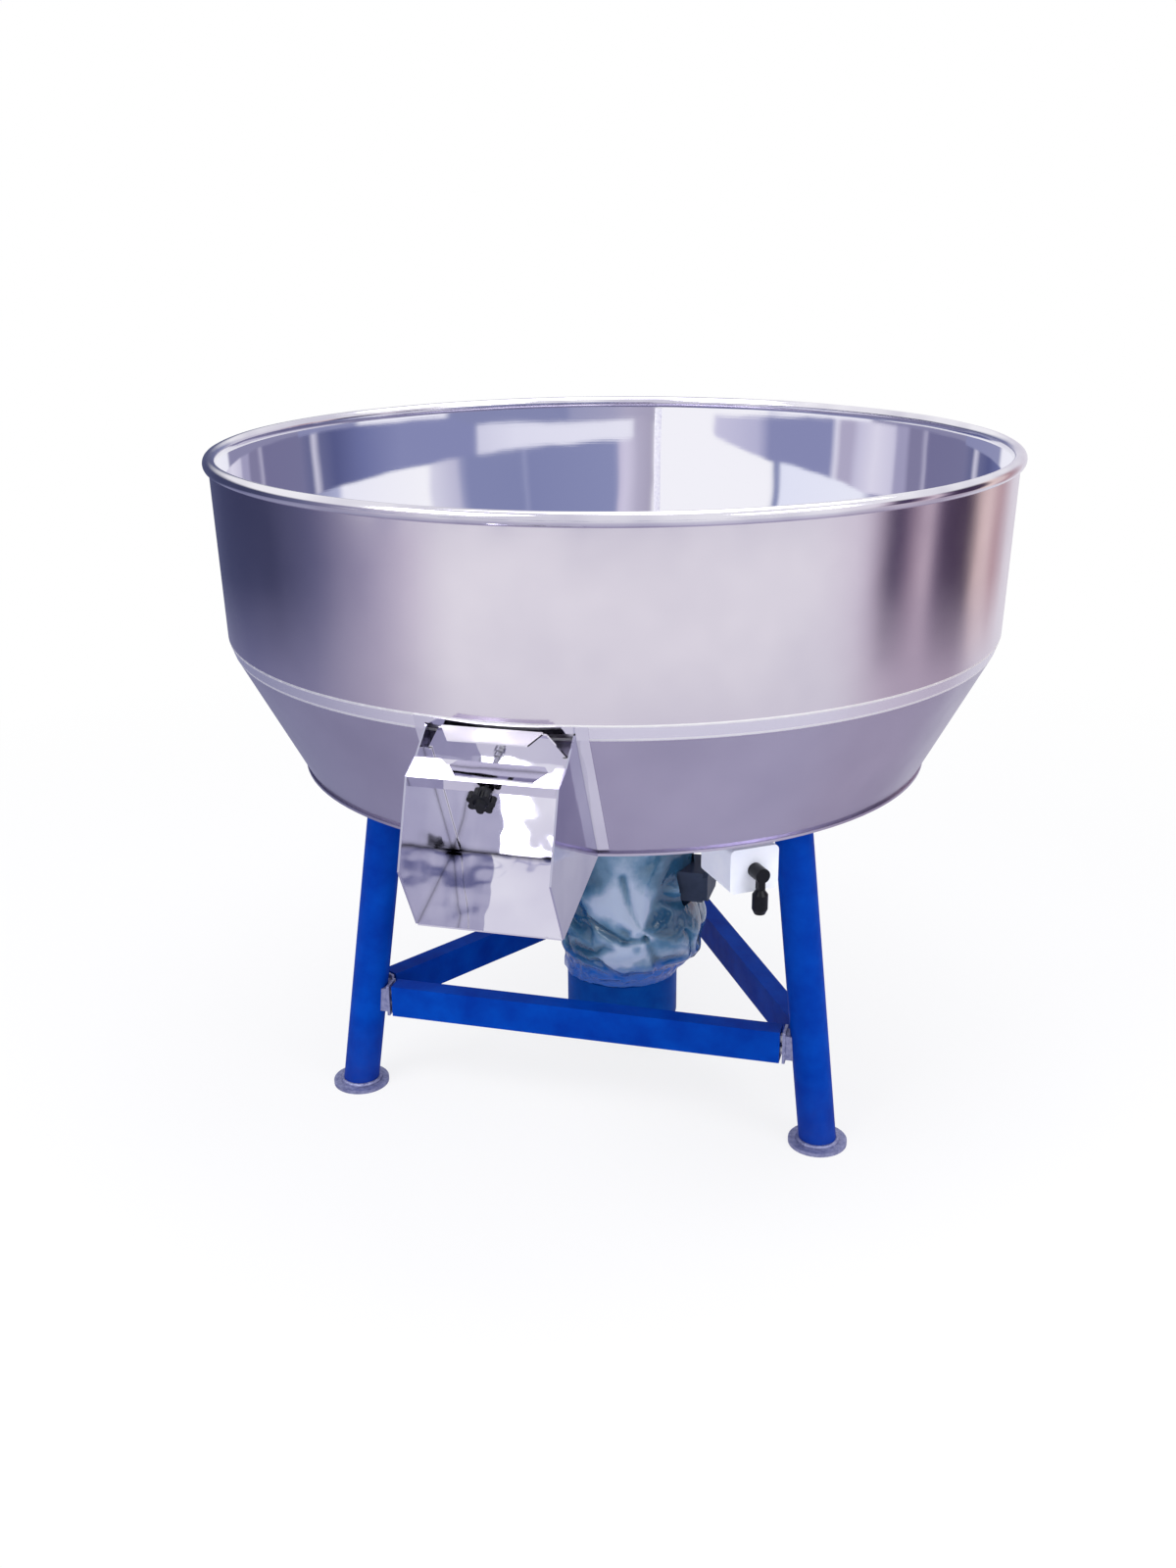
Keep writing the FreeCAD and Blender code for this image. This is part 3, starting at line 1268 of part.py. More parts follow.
build_pan()
form = pan_form("pan_form", 0)
build_outlet(form)
build_chute(form)
build_gate()
build_clamp()
rods = build_legs()
build_braces(rods)
build_gearbox()
build_layshaft()
build_motor()
build_rotor()
build_seal()
build_stirrer()
build_switch()
build_bag()
finish()
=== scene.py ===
"""Looks of the powder mixer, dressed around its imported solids. Lengths are in metres."""
import math

import bpy
from mathutils import Matrix, Vector, noise


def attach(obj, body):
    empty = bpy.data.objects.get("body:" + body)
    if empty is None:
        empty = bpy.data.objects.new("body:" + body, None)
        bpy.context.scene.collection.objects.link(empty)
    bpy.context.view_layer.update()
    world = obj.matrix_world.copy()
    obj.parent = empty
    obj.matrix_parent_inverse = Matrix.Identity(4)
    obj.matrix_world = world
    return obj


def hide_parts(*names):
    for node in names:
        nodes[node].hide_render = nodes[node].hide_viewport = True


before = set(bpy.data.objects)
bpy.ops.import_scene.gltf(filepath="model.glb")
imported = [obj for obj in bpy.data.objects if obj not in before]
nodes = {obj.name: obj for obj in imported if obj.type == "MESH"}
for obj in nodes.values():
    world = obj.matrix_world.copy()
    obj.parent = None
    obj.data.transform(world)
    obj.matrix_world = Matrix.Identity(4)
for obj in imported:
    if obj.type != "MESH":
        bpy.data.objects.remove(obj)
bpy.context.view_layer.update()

scene = bpy.context.scene
bpy.ops.object.select_all(action="DESELECT")
scene.view_settings.view_transform = "Standard"

# Places on the object that several pieces share
PAN_FLOOR = 0.6393
KNUCKLE = 0.8585
WALL_FOOT = 0.8805
WALL_FOOT_RADIUS = 0.6801
WALL_TOP = 1.164
WALL_TOP_RADIUS = 0.690
KNUCKLE_RADIUS = 0.67252
CONE_FOOT_RADIUS = 0.55793
RIM_RADIUS = 0.0113
SHEET = 0.003
BEND = 0.0022
MOTOR_X = 0.016
FOOT_CIRCLE = 0.503
FOOT_TOP = 0.007
LEG_LEAN = math.radians(7.86)
LEG_RADIUS = 0.033
LEG_TURNS = [math.radians(turn) for turn in (210, 330, 90)]
SEAM_TURN = math.radians(96)

# The film bag's rings from its tied mouth up: level, middle in front of the motor, radius
BAG_RINGS = [(0.190, 0.000, 0.1110), (0.210, 0.008, 0.1180), (0.240, 0.016, 0.1290),
             (0.298, 0.022, 0.1340), (0.3735, 0.008, 0.1230), (0.4615, 0.010, 0.1240),
             (0.6015, 0.015, 0.1210)]
# Where the film swells: turn, level, how wide in degrees, how tall and how far, in metres
BAG_FORMS = [(-101, 0.365, 17, 0.030, 0.010), (-44, 0.352, 24, 0.036, 0.008),
             (-92, 0.262, 15, 0.022, 0.009), (-120, 0.285, 14, 0.026, 0.006),
             (-40, 0.268, 18, 0.024, 0.006), (20, 0.290, 22, 0.030, 0.005),
             (70, 0.330, 25, 0.040, 0.006), (130, 0.280, 22, 0.034, 0.007),
             (175, 0.350, 24, 0.040, 0.006), (-150, 0.300, 16, 0.034, 0.006)]
# Drawn-in folds: turn and level of both ends
BAG_FOLDS = [(-80, 0.420, -66, 0.305), (-66, 0.305, -50, 0.222), (-112, 0.330, -84, 0.300),
             (-84, 0.300, -66, 0.305), (-104, 0.250, -80, 0.215), (-30, 0.300, -14, 0.236),
             (100, 0.380, 120, 0.240), (-170, 0.400, -140, 0.250), (40, 0.260, 10, 0.215)]
BAG_FOOT = BAG_RINGS[0][0] - 0.004
BAG_TOP = BAG_RINGS[-1][0]
BAG_COLUMNS, BAG_ROWS = 156, 72
FILM = 0.0004
TIE = 0.006
# The terminal box comes through the film here
SLIT_X, SLIT_HALF_WIDTH, SLIT_FOOT, SLIT_TOP = 0.1, 0.049, 0.347, 0.408
SETTLING_FRAMES = 24


# Materials

def linear(code, alpha=1.0):
    """The linear colour of an sRGB hex value."""
    channels = [int(code[at:at + 2], 16) / 255 for at in (0, 2, 4)]
    return [c / 12.92 if c <= 0.04045 else ((c + 0.055) / 1.055) ** 2.4 for c in channels] + [alpha]


def add(tree, kind, sockets=None, stops=None, **settings):
    """Add one shader node with its settings, its links and, on a ramp, its colour stops."""
    made = tree.nodes.new("ShaderNode" + kind)
    for name, value in settings.items():
        setattr(made, name, value)
    for name, value in (sockets or {}).items():
        if isinstance(value, bpy.types.NodeSocket):
            tree.links.new(value, made.inputs[name])
        else:
            made.inputs[name].default_value = value
    if stops:
        ramp = made.color_ramp.elements
        while len(ramp) < len(stops):
            ramp.new(0.5)
        for element, (place, colour) in zip(ramp, stops):
            element.position = place
            element.color = colour
    return made


def blank(name):
    """A material with only its output, and the object's coordinates to draw patterns with."""
    material = bpy.data.materials.new(name)
    material.use_nodes = True
    tree = material.node_tree
    tree.nodes.clear()
    place = add(tree, "TexCoord").outputs["Object"]
    return material, tree, place


def close(tree, shader):
    add(tree, "OutputMaterial", {"Surface": shader.outputs[0]})


def greys(low, high):
    return [(0.0, (low, low, low, 1)), (1.0, (high, high, high, 1))]


def blend(tree, share, under, over):
    """Two colours mixed. The share is how much of the second one shows."""
    return add(tree, "Mix", {"Factor": share, "A": under, "B": over},
               data_type="RGBA").outputs["Result"]


def calc(tree, operation, *values):
    return add(tree, "Math", dict(enumerate(values)), operation=operation).outputs[0]


def ramped(tree, value, start, end, low=0.0, high=1.0):
    """The low value up to the start, the high one from the end on, and a slope between."""
    return add(tree, "MapRange", {"Value": value, "From Min": start, "From Max": end,
                                  "To Min": low, "To Max": high}).outputs[0]


def height_at(tree, place):
    return add(tree, "SeparateXYZ", {"Vector": place}).outputs["Z"]


def speckle(tree, place, millimetres, stops, detail=4.0, stretch=(1, 1, 1)):
    """Noise whose grains are as wide as the given millimetres, drawn through colour stops."""
    grain = add(tree, "Mapping", {"Vector": place, "Scale": stretch})
    cloud = add(tree, "TexNoise", {"Vector": grain.outputs[0], "Scale": 1000 / millimetres,
                                   "Detail": detail, "Roughness": 0.55})
    return add(tree, "ValToRGB", {"Fac": cloud.outputs["Fac"]}, stops).outputs["Color"]


def rolled_stainless(name, light, dark, sheen, wave):
    """Cold-rolled stainless sheet. The rolls leave fine level lines that blur a reflection
    up and down, and forming leaves slow waves that bend it. Its inner face is polished
    like a mirror, so that powder slides off. The pressed ring over the cone has a painted
    highlight: it is tinted near white, and each bend along it gets a painted white line."""
    material, tree, place = blank(name)
    facing = add(tree, "TexCoord").outputs["Normal"]
    outward = add(tree, "VectorMath", {0: facing, 1: place}, operation="DOT_PRODUCT")
    inner = calc(tree, "LESS_THAN", outward.outputs["Value"], 0.0)
    level = height_at(tree, place)
    knuckle_band_highlight = calc(tree, "MULTIPLY", calc(tree, "GREATER_THAN", level, KNUCKLE),
                calc(tree, "LESS_THAN", level, WALL_FOOT))
    bend_line_highlight = calc(tree, "MAXIMUM", calc(tree, "COMPARE", level, KNUCKLE, BEND),
                calc(tree, "COMPARE", level, WALL_FOOT, BEND))
    outer_tint = speckle(tree, place, 260, [(0.3, linear(dark)), (0.7, linear(light))], 3)
    # Painted highlight: the pressed ring over the cone is tinted near white, and each bend line
    # white.
    outer_tint = blend(tree, knuckle_band_highlight, outer_tint, linear("F2F0F8"))
    outer_tint = blend(tree, bend_line_highlight, outer_tint, linear("FFFFFF"))
    tint = blend(tree, inner, outer_tint, linear("F1F0F8"))
    outer_gloss = speckle(tree, place, 70, greys(sheen * 0.8, sheen * 1.25), 5)
    outer_gloss = blend(tree, bend_line_highlight, outer_gloss, (0.5, 0.5, 0.5, 1))
    inner_gloss = speckle(tree, place, 70, greys(0.025, 0.05), 4)
    gloss = blend(tree, inner, outer_gloss, inner_gloss)
    lines = speckle(tree, place, 330, greys(0.0, 1.0), 3, (1, 1, 260))
    slow = speckle(tree, place, 210, greys(0.0, 1.0), 1.5)
    waves = add(tree, "Bump", {"Height": slow, "Strength": 1.0, "Distance": wave})
    rolled = add(tree, "Bump", {"Height": lines, "Strength": 0.04, "Distance": 0.0002,
                                "Normal": waves.outputs[0]})
    around = add(tree, "Tangent", direction_type="RADIAL", axis="Z")
    shader = add(tree, "BsdfPrincipled", {"Base Color": tint, "Metallic": 1.0, "Roughness": gloss,
                                          "Anisotropic": 0.45, "Tangent": around.outputs[0],
                                          "Normal": rolled.outputs[0]})
    close(tree, shader)
    return material


def mirror_stainless(name, light, dark, sheen, wave, corner_shade=None):
    """Stainless with a bright annealed face: a near mirror, slightly dented by its folds.
    With a shade colour, painted shade darkens it where two sheets meet."""
    material, tree, place = blank(name)
    tint = speckle(tree, place, 160, [(0.35, linear(dark)), (0.65, linear(light))], 2)
    if corner_shade:
        # Painted shade: ambient occlusion darkens the tint where two sheets meet.
        open_sky = add(tree, "AmbientOcclusion", {"Distance": 0.022}, samples=8).outputs["AO"]
        dust_and_shade = ramped(tree, open_sky, 0.25, 0.62, 1.0, 0.0)
        tint = blend(tree, dust_and_shade, tint, linear(corner_shade))
    gloss = speckle(tree, place, 60, greys(sheen * 0.8, sheen * 1.2), 3)
    slow = speckle(tree, place, 70, greys(0.0, 1.0), 1)
    waves = add(tree, "Bump", {"Height": slow, "Strength": 1.0, "Distance": wave})
    shader = add(tree, "BsdfPrincipled", {"Base Color": tint, "Metallic": 1.0,
                                          "Roughness": gloss, "Normal": waves.outputs[0]})
    close(tree, shader)
    return material


def bare_metal(name, light, dark, grain, sheen, bump=0.3, metallic=1.0):
    """Machined, welded or plated metal, by its two colours and the size of its grain."""
    material, tree, place = blank(name)
    tint = speckle(tree, place, grain, [(0.3, linear(dark)), (0.7, linear(light))])
    gloss = speckle(tree, place, grain * 2.5, greys(sheen * 0.75, sheen * 1.3))
    fine = speckle(tree, place, grain * 0.5, greys(0, 1))
    skin = add(tree, "Bump", {"Height": fine, "Strength": bump, "Distance": grain * 0.0002})
    shader = add(tree, "BsdfPrincipled", {"Base Color": tint, "Metallic": metallic,
                                          "Roughness": gloss, "Normal": skin.outputs[0]})
    close(tree, shader)
    return material


def enamel(name, light, dark, sheen, coat, dust_and_shade=None):
    """Brushed or sprayed paint. It flows into soft ripples, its coat shines, and with a dusty
    colour it is grimy low down."""
    material, tree, place = blank(name)
    tint = speckle(tree, place, 60, [(0.3, linear(dark)), (0.7, linear(light))])
    if dust_and_shade:
        low = ramped(tree, height_at(tree, place), 0.005, 0.14, 0.45, 0.0)
        grime = speckle(tree, place, 22, greys(0.0, 1.0), 6)
        tint = blend(tree, calc(tree, "MULTIPLY", low, grime), tint, linear(dust_and_shade))
    gloss = speckle(tree, place, 35, greys(sheen * 0.75, sheen * 1.3))
    ripple = speckle(tree, place, 3.5, greys(0, 1), 2)
    skin = add(tree, "Bump", {"Height": ripple, "Strength": 0.25, "Distance": 0.0004})
    shader = add(tree, "BsdfPrincipled", {"Base Color": tint, "Roughness": gloss, "IOR": 1.1,
                                          "Coat Weight": coat, "Coat Roughness": 0.15,
                                          "Normal": skin.outputs[0]})
    close(tree, shader)
    return material


def moulded(name, light, dark, sheen, grain, ior=1.5):
    """Moulded plastic or rubber with the fine grain of its mould."""
    material, tree, place = blank(name)
    tint = speckle(tree, place, grain * 6, [(0.3, linear(dark)), (0.7, linear(light))])
    gloss = speckle(tree, place, grain * 9, greys(sheen * 0.8, sheen * 1.2))
    fine = speckle(tree, place, grain, greys(0, 1), 2)
    skin = add(tree, "Bump", {"Height": fine, "Strength": 0.2, "Distance": 0.0002})
    shader = add(tree, "BsdfPrincipled", {"Base Color": tint, "Roughness": gloss, "IOR": ior,
                                          "Normal": skin.outputs[0]})
    close(tree, shader)
    return material


def bag_film(name):
    """Thin clear bluish polythene film: it shines where it is creased, has a painted highlight
    where it stands off the drive, and lets the drive show through more where it is tied tight."""
    material, tree, place = blank(name)
    level = height_at(tree, place)
    off = add(tree, "Attribute", attribute_name="stand_off").outputs["Fac"]
    cloud = add(tree, "TexNoise", {"Vector": place, "Scale": 28.0, "Detail": 3.0}).outputs["Fac"]
    # Painted highlight: the tint runs from dark teal where the film rests on the drive to near
    # white where it stands off.
    swell_highlight_tint = add(tree, "ValToRGB", {"Fac": calc(tree, "MULTIPLY_ADD", cloud, 0.5, off)},
               [(0.36, linear("285676")), (0.58, linear("45728F")), (0.76, linear("6B93B2")),
                (1.0, linear("B9CAE2"))]).outputs["Color"]
    ragged = calc(tree, "MULTIPLY_ADD", cloud, 0.05, level)
    tint = blend(tree, ramped(tree, ragged, 0.236, 0.276), linear("0068CC"), swell_highlight_tint)
    body = ramped(tree, level, 0.194, 0.240, 0.6, 0.88)
    gloss = speckle(tree, place, 40, greys(0.07, 0.16), 2)
    crease = add(tree, "TexVoronoi", {"Vector": place, "Scale": 22.0},
                 feature="DISTANCE_TO_EDGE").outputs["Distance"]
    crumple = speckle(tree, place, 17, greys(0, 1), 4)
    coarse = add(tree, "Bump", {"Height": crease, "Strength": 0.22, "Distance": 0.006})
    skin = add(tree, "Bump", {"Height": crumple, "Strength": 0.5, "Distance": 0.0024,
                              "Normal": coarse.outputs[0]})
    shader = add(tree, "BsdfPrincipled", {"Base Color": tint, "Roughness": gloss, "IOR": 1.42,
                                          "Alpha": body, "Coat Weight": 1.0, "Coat IOR": 1.55,
                                          "Coat Roughness": 0.06, "Normal": skin.outputs[0],
                                          "Coat Normal": skin.outputs[0]})
    close(tree, shader)
    return material


wall_sheet = rolled_stainless("cold_rolled_stainless_wall", "DCD6E2", "CDC7D6", 0.15, 0.001)
# Painted shade: the cone's tones are set darker than the wall's, for the darker ground it mirrors.
darkened_cone_sheet = rolled_stainless("cold_rolled_stainless_cone", "C6C1D4", "B6B1C6", 0.24, 0.002)
rim_steel = mirror_stainless("polished_stainless_rim", "EAE8F0", "C9C6D6", 0.1, 0.0002)
# The last colour of the chute and of its sides is painted shade where two sheets meet.
chute_sheet = mirror_stainless("mirror_stainless_chute", "F0EFF6", "E4E2ED", 0.035, 0.0012,
                               "2E2A38")
# Painted shade: the sides' tones are set darker than the chute's, for the darker reflections on
# them.
darkened_side_sheet = mirror_stainless("mirror_stainless_sides", "BFBED2", "ABAAC4", 0.09, 0.0005,
                              "2E2A38")
seam_steel = bare_metal("ground_weld_seam", "FAF9FD", "E6E4F0", 5, 0.34, 0.3, 0.6)
stirrer_steel = bare_metal("ground_stainless_stirrer", "C9C8D4", "A9A8B6", 6, 0.3)
zinc = bare_metal("zinc_plated_fastener", "CFCFD6", "9E9EA8", 3, 0.32)
foot_steel = bare_metal("bare_steel_foot", "A9ACCB", "7C80A8", 8, 0.5, 0.8, 0.7)
machined = bare_metal("machined_gear_steel", "9A9AA2", "74747C", 4, 0.35)
bearing_steel = bare_metal("ground_bearing_steel", "C8C8CE", "A8A8B0", 4, 0.18)
lamination = bare_metal("stacked_laminations", "5A5A60", "3E3E44", 2, 0.5)
casting = enamel("painted_gearbox_casting", "5C646C", "474E56", 0.5, 0.1)
blue = enamel("blue_gloss_enamel", "0044AC", "003294", 0.4, 0.0, "3A4080")
motor_blue = enamel("blue_motor_enamel", "004FA6", "003C8C", 0.38, 0.04)
slate = enamel("slate_terminal_enamel", "3D475C", "2C3547", 0.45, 0.15)
pale_grey = enamel("pale_grey_switch_enamel", "F8FAFF", "ECF0FA", 0.38, 0.1)
black = moulded("black_phenolic_knob", "0E101A", "07080E", 0.3, 1.2, 1.28)
seal_rubber = moulded("nitrile_seal_rubber", "1C1C1E", "101012", 0.6, 1.0)
phenolic = moulded("brown_phenolic_contacts", "5E3B22", "43281A", 0.45, 1.5)
film = bag_film("crumpled_polythene_film")

FINISHES = {
    wall_sheet: ["bowl_wall"],
    darkened_cone_sheet: ["bowl_cone", "bowl_floor"],
    rim_steel: ["rim_tube"],
    chute_sheet: ["outlet_frame", "chute_floor", "clamp_bar", "gate_guides", "gate_plate"],
    darkened_side_sheet: ["chute_left_side", "chute_right_side"],
    stirrer_steel: ["stirrer_hub", "hub_cap", "stirrer_arms", "plough_blades",
                    "wall_scrapers", "seal_housing"],
    zinc: ["brace_bolts", "clamp_nut", "clamp_screw", "pressure_pad", "switch_bracket"],
    foot_steel: ["feet", "brace_lugs"],
    machined: ["layshaft", "lay_gear", "output_gear", "output_shaft", "motor_shaft"],
    bearing_steel: ["gearbox_bearings", "motor_bearings"],
    lamination: ["stator_core", "rotor_core"],
    casting: ["gearbox_housing", "gearbox_cover"],
    blue: ["leg_left", "leg_right", "leg_rear", "leg_heads", "brace_front", "brace_left",
           "brace_right", "drive_plate"],
    motor_blue: ["motor_flange", "motor_frame", "motor_end_shield", "fan_cowl"],
    slate: ["terminal_box", "terminal_lid"],
    pale_grey: ["switch_box", "switch_cover"],
    black: ["clamp_knob", "switch_lever", "lever_grip", "cooling_fan"],
    seal_rubber: ["shaft_seal"],
    phenolic: ["switch_drum", "switch_contacts"],
    film: ["dust_bag"],
}
for finish, names in FINISHES.items():
    for name in names:
        nodes[name].data.materials.clear()
        nodes[name].data.materials.append(finish)


# New pieces

def start_piece(name):
    """Take the primitive that was just added as a new piece."""
    piece = bpy.context.object
    piece.name = name
    piece.data.name = name
    return piece


def select_only(piece):
    bpy.ops.object.select_all(action="DESELECT")
    piece.select_set(True)
    bpy.context.view_layer.objects.active = piece


def settle(piece, finish, body, smooth=40):
    """Put a piece's place into its mesh, give it its finish and let it ride."""
    select_only(piece)
    bpy.ops.object.transform_apply(location=True, rotation=True, scale=True)
    bpy.ops.object.shade_smooth_by_angle(angle=math.radians(smooth))
    piece.data.materials.clear()
    piece.data.materials.append(finish)
    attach(piece, body)


def edit_whole(piece, *steps):
    """Run edit-mode steps on all of a piece's mesh."""
    select_only(piece)
    bpy.ops.object.mode_set(mode="EDIT")
    bpy.ops.mesh.select_all(action="SELECT")
    for step, settings in steps:
        step(**settings)
    bpy.ops.object.mode_set(mode="OBJECT")


def apply_modifier(piece, kind, **settings):
    select_only(piece)
    modifier = piece.modifiers.new(kind.lower(), kind)
    for name, value in settings.items():
        setattr(modifier, name, value)
    bpy.ops.object.modifier_apply(modifier=modifier.name)


def roll_rim():
    """The pan's rolled edge, with the faint dents that rolling leaves."""
    bpy.ops.object.select_all(action="DESELECT")
    centre = WALL_TOP + RIM_RADIUS
    bpy.ops.mesh.primitive_torus_add(major_segments=288, minor_segments=20,
                                     major_radius=WALL_TOP_RADIUS - SHEET / 2 - 0.0003,
                                     minor_radius=RIM_RADIUS, location=(0, 0, centre))
    rim = start_piece("rolled_rim")
    settle(rim, rim_steel, "stand", 60)
    for vertex in rim.data.vertices:
        dent = noise.noise(vertex.co * 7) * 0.0006
        vertex.co.z += dent - 0.0007
    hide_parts("rim_tube")


def run_foot_welds():
    """The weld bead that joins each leg to its foot, laid in overlapping ripples."""
    for side, turn in zip(("left", "right", "rear"), LEG_TURNS):
        bpy.ops.object.select_all(action="DESELECT")
        out = FOOT_CIRCLE - (FOOT_TOP + 0.002) * math.tan(LEG_LEAN)
        middle = Vector((math.cos(turn) * out, math.sin(turn) * out, FOOT_TOP + 0.0015))
        bpy.ops.mesh.primitive_torus_add(major_segments=120, minor_segments=10,
                                         major_radius=LEG_RADIUS + 0.0015, minor_radius=0.0042,
                                         location=middle)
        bead = start_piece("foot_weld_" + side)
        settle(bead, foot_steel, "stand", 70)
        for vertex in bead.data.vertices:
            arm = vertex.co - middle
            around = math.atan2(arm.y, arm.x)
            ripple = 0.0006 * abs(math.sin(around * 19)) + 0.0012 * noise.noise(vertex.co * 60)
            flat = Vector((arm.x, arm.y, 0)).normalized()
            vertex.co += flat * ripple
            vertex.co.z = max(vertex.co.z, FOOT_TOP - 0.001) + ripple * 0.4


def inner_radius(level):
    """Radius of the pan's inner face at a height."""
    if level > WALL_FOOT:
        share = (level - WALL_FOOT) / (WALL_TOP - WALL_FOOT)
        return WALL_FOOT_RADIUS + (WALL_TOP_RADIUS - WALL_FOOT_RADIUS) * share - SHEET
    if level > KNUCKLE:
        share = (level - KNUCKLE) / (WALL_FOOT - KNUCKLE)
        return KNUCKLE_RADIUS + (WALL_FOOT_RADIUS - KNUCKLE_RADIUS) * share - SHEET * 1.05
    share = (level - PAN_FLOOR) / (KNUCKLE - PAN_FLOOR)
    return CONE_FOOT_RADIUS + (KNUCKLE_RADIUS - CONE_FOOT_RADIUS) * share - SHEET * 1.13


def lay_seam(name, side, width, crown):
    """A ground weld seam down the pan's sheet, on its inner face (side -1) or outer face."""
    low, high = PAN_FLOOR + 0.01, WALL_TOP - 0.002
    bpy.ops.object.select_all(action="DESELECT")
    bpy.ops.mesh.primitive_grid_add(x_subdivisions=6, y_subdivisions=150, size=1)
    seam = start_piece(name)
    for vertex in seam.data.vertices:
        across, along = vertex.co.x, vertex.co.y + 0.5
        level = low + (high - low) * along
        radius = inner_radius(level)
        radius += SHEET * 1.13 if side > 0 else 0
        bulge = crown * (1 - (across * 2) ** 2) * (1 + 0.35 * math.sin(along * 300))
        radius += side * (bulge + 0.00005)
        spin = SEAM_TURN + across * width / radius
        vertex.co = (math.cos(spin) * radius, math.sin(spin) * radius, level)
    settle(seam, seam_steel, "stand", 70)
    edit_whole(seam, (bpy.ops.mesh.normals_make_consistent, {"inside": False}))
    if side < 0:
        edit_whole(seam, (bpy.ops.mesh.flip_normals, {}))


def bag_ring(level):
    """Middle and radius of the bag at a level."""
    for (low, *lower), (high, *higher) in zip(BAG_RINGS, BAG_RINGS[1:]):
        if level <= high:
            share = max(0.0, (level - low) / (high - low))
            share = share * share * (3 - 2 * share) if low > 0.2 else share
            return [a + (b - a) * share for a, b in zip(lower, higher)]
    return BAG_RINGS[-1][1:]


def bag_swell(turn, level):
    """How far the loose film stands off its ring, in metres."""
    swell = 0.0
    for middle, height, wide, tall, size in BAG_FORMS:
        across = ((turn - middle + 180) % 360 - 180) / wide
        along = (level - height) / tall
        swell += size * math.exp(-across * across - along * along)
    for turn_a, level_a, turn_b, level_b in BAG_FOLDS:
        run = Vector(((turn_b - turn_a) * 0.0022, level_b - level_a))
        point = Vector((((turn - turn_a + 180) % 360 - 180) * 0.0022, level - level_a))
        share = min(1.0, max(0.0, point.dot(run) / run.length_squared))
        off = (point - run * share).length / 0.0075
        swell -= 0.0085 * math.exp(-off * off)
    gather = math.exp(-max(0.0, level - 0.200) / 0.022)
    pleat = noise.noise(Vector((turn * 0.13, level * 9, 2.0)))
    swell += 0.006 * gather * pleat
    swell += 0.0018 * noise.noise(Vector((turn * 0.04, level * 22, 7.0)))
    return swell


def film_tube(name, inset=0.0):
    """A tube round the drive. Without an inset it swells and folds like the film, and with
    one it is what the film rests on."""
    bpy.ops.object.select_all(action="DESELECT")
    bpy.ops.mesh.primitive_grid_add(x_subdivisions=BAG_COLUMNS, y_subdivisions=BAG_ROWS, size=1)
    piece = start_piece(name)
    for vertex in piece.data.vertices:
        turn = (vertex.co.x + 0.5) * 360
        level = BAG_FOOT + (BAG_TOP - BAG_FOOT) * (vertex.co.y + 0.5)
        middle, radius = bag_ring(level)
        if inset:
            radius -= inset
        else:
            radius += bag_swell(turn, level) * min(1.0, (BAG_TOP - level) / 0.05)
        spin = math.radians(turn)
        vertex.co = (MOTOR_X + middle + math.cos(spin) * radius, math.sin(spin) * radius, level)
    edit_whole(piece, (bpy.ops.mesh.remove_doubles, {"threshold": 0.0002}),
               (bpy.ops.mesh.normals_make_consistent, {"inside": False}))
    return piece


def cut_slit(bag):
    """Open the film where the terminal box comes through."""
    opening = [vertex.index for vertex in bag.data.vertices
               if vertex.co.x > SLIT_X and abs(vertex.co.y) < SLIT_HALF_WIDTH
               and SLIT_FOOT < vertex.co.z < SLIT_TOP]
    select_only(bag)
    bpy.ops.object.mode_set(mode="EDIT")
    bpy.ops.mesh.select_all(action="DESELECT")
    bpy.ops.object.mode_set(mode="OBJECT")
    for index in opening:
        bag.data.vertices[index].select = True
    bpy.ops.object.mode_set(mode="EDIT")
    bpy.ops.mesh.delete(type="VERT")
    bpy.ops.object.mode_set(mode="OBJECT")


def let_settle(bag):
    """Let the film sink onto the drive as cloth, tied at both ends, and keep it within the
    bag's CAD shape."""
    core = film_tube("bag_core", 0.005)
    core.modifiers.new("collision", "COLLISION")
    core.collision.thickness_outer = 0.001
    tied = bag.vertex_groups.new(name="tied")
    for vertex in bag.data.vertices:
        if vertex.co.z < BAG_FOOT + TIE or vertex.co.z > BAG_TOP - TIE:
            tied.add([vertex.index], 1.0, "REPLACE")
    cloth = bag.modifiers.new("cloth", "CLOTH")
    tuning = cloth.settings
    tuning.quality = 5
    tuning.mass = 0.02
    tuning.tension_stiffness = 30
    tuning.compression_stiffness = 30
    tuning.shear_stiffness = 12
    tuning.bending_stiffness = 2.5
    tuning.air_damping = 2
    tuning.vertex_group_mass = tied.name
    tuning.shrink_min = -0.03
    tuning.effector_weights.gravity = 0.25
    cloth.collision_settings.distance_min = 0.001
    cloth.collision_settings.use_self_collision = False
    cloth.point_cache.frame_start = 1
    cloth.point_cache.frame_end = SETTLING_FRAMES
    for step in range(SETTLING_FRAMES):
        scene.frame_set(step + 1)
    select_only(bag)
    bpy.ops.object.modifier_apply(modifier=cloth.name)
    bpy.data.objects.remove(core, do_unlink=True)
    for vertex in bag.data.vertices:
        middle, radius = bag_ring(vertex.co.z)
        arm = Vector((vertex.co.x - MOTOR_X - middle, vertex.co.y, 0))
        reach = min(max(arm.length, radius - 0.006), radius + 0.016)
        arm = arm.normalized() * reach
        vertex.co.x, vertex.co.y = MOTOR_X + middle + arm.x, arm.y


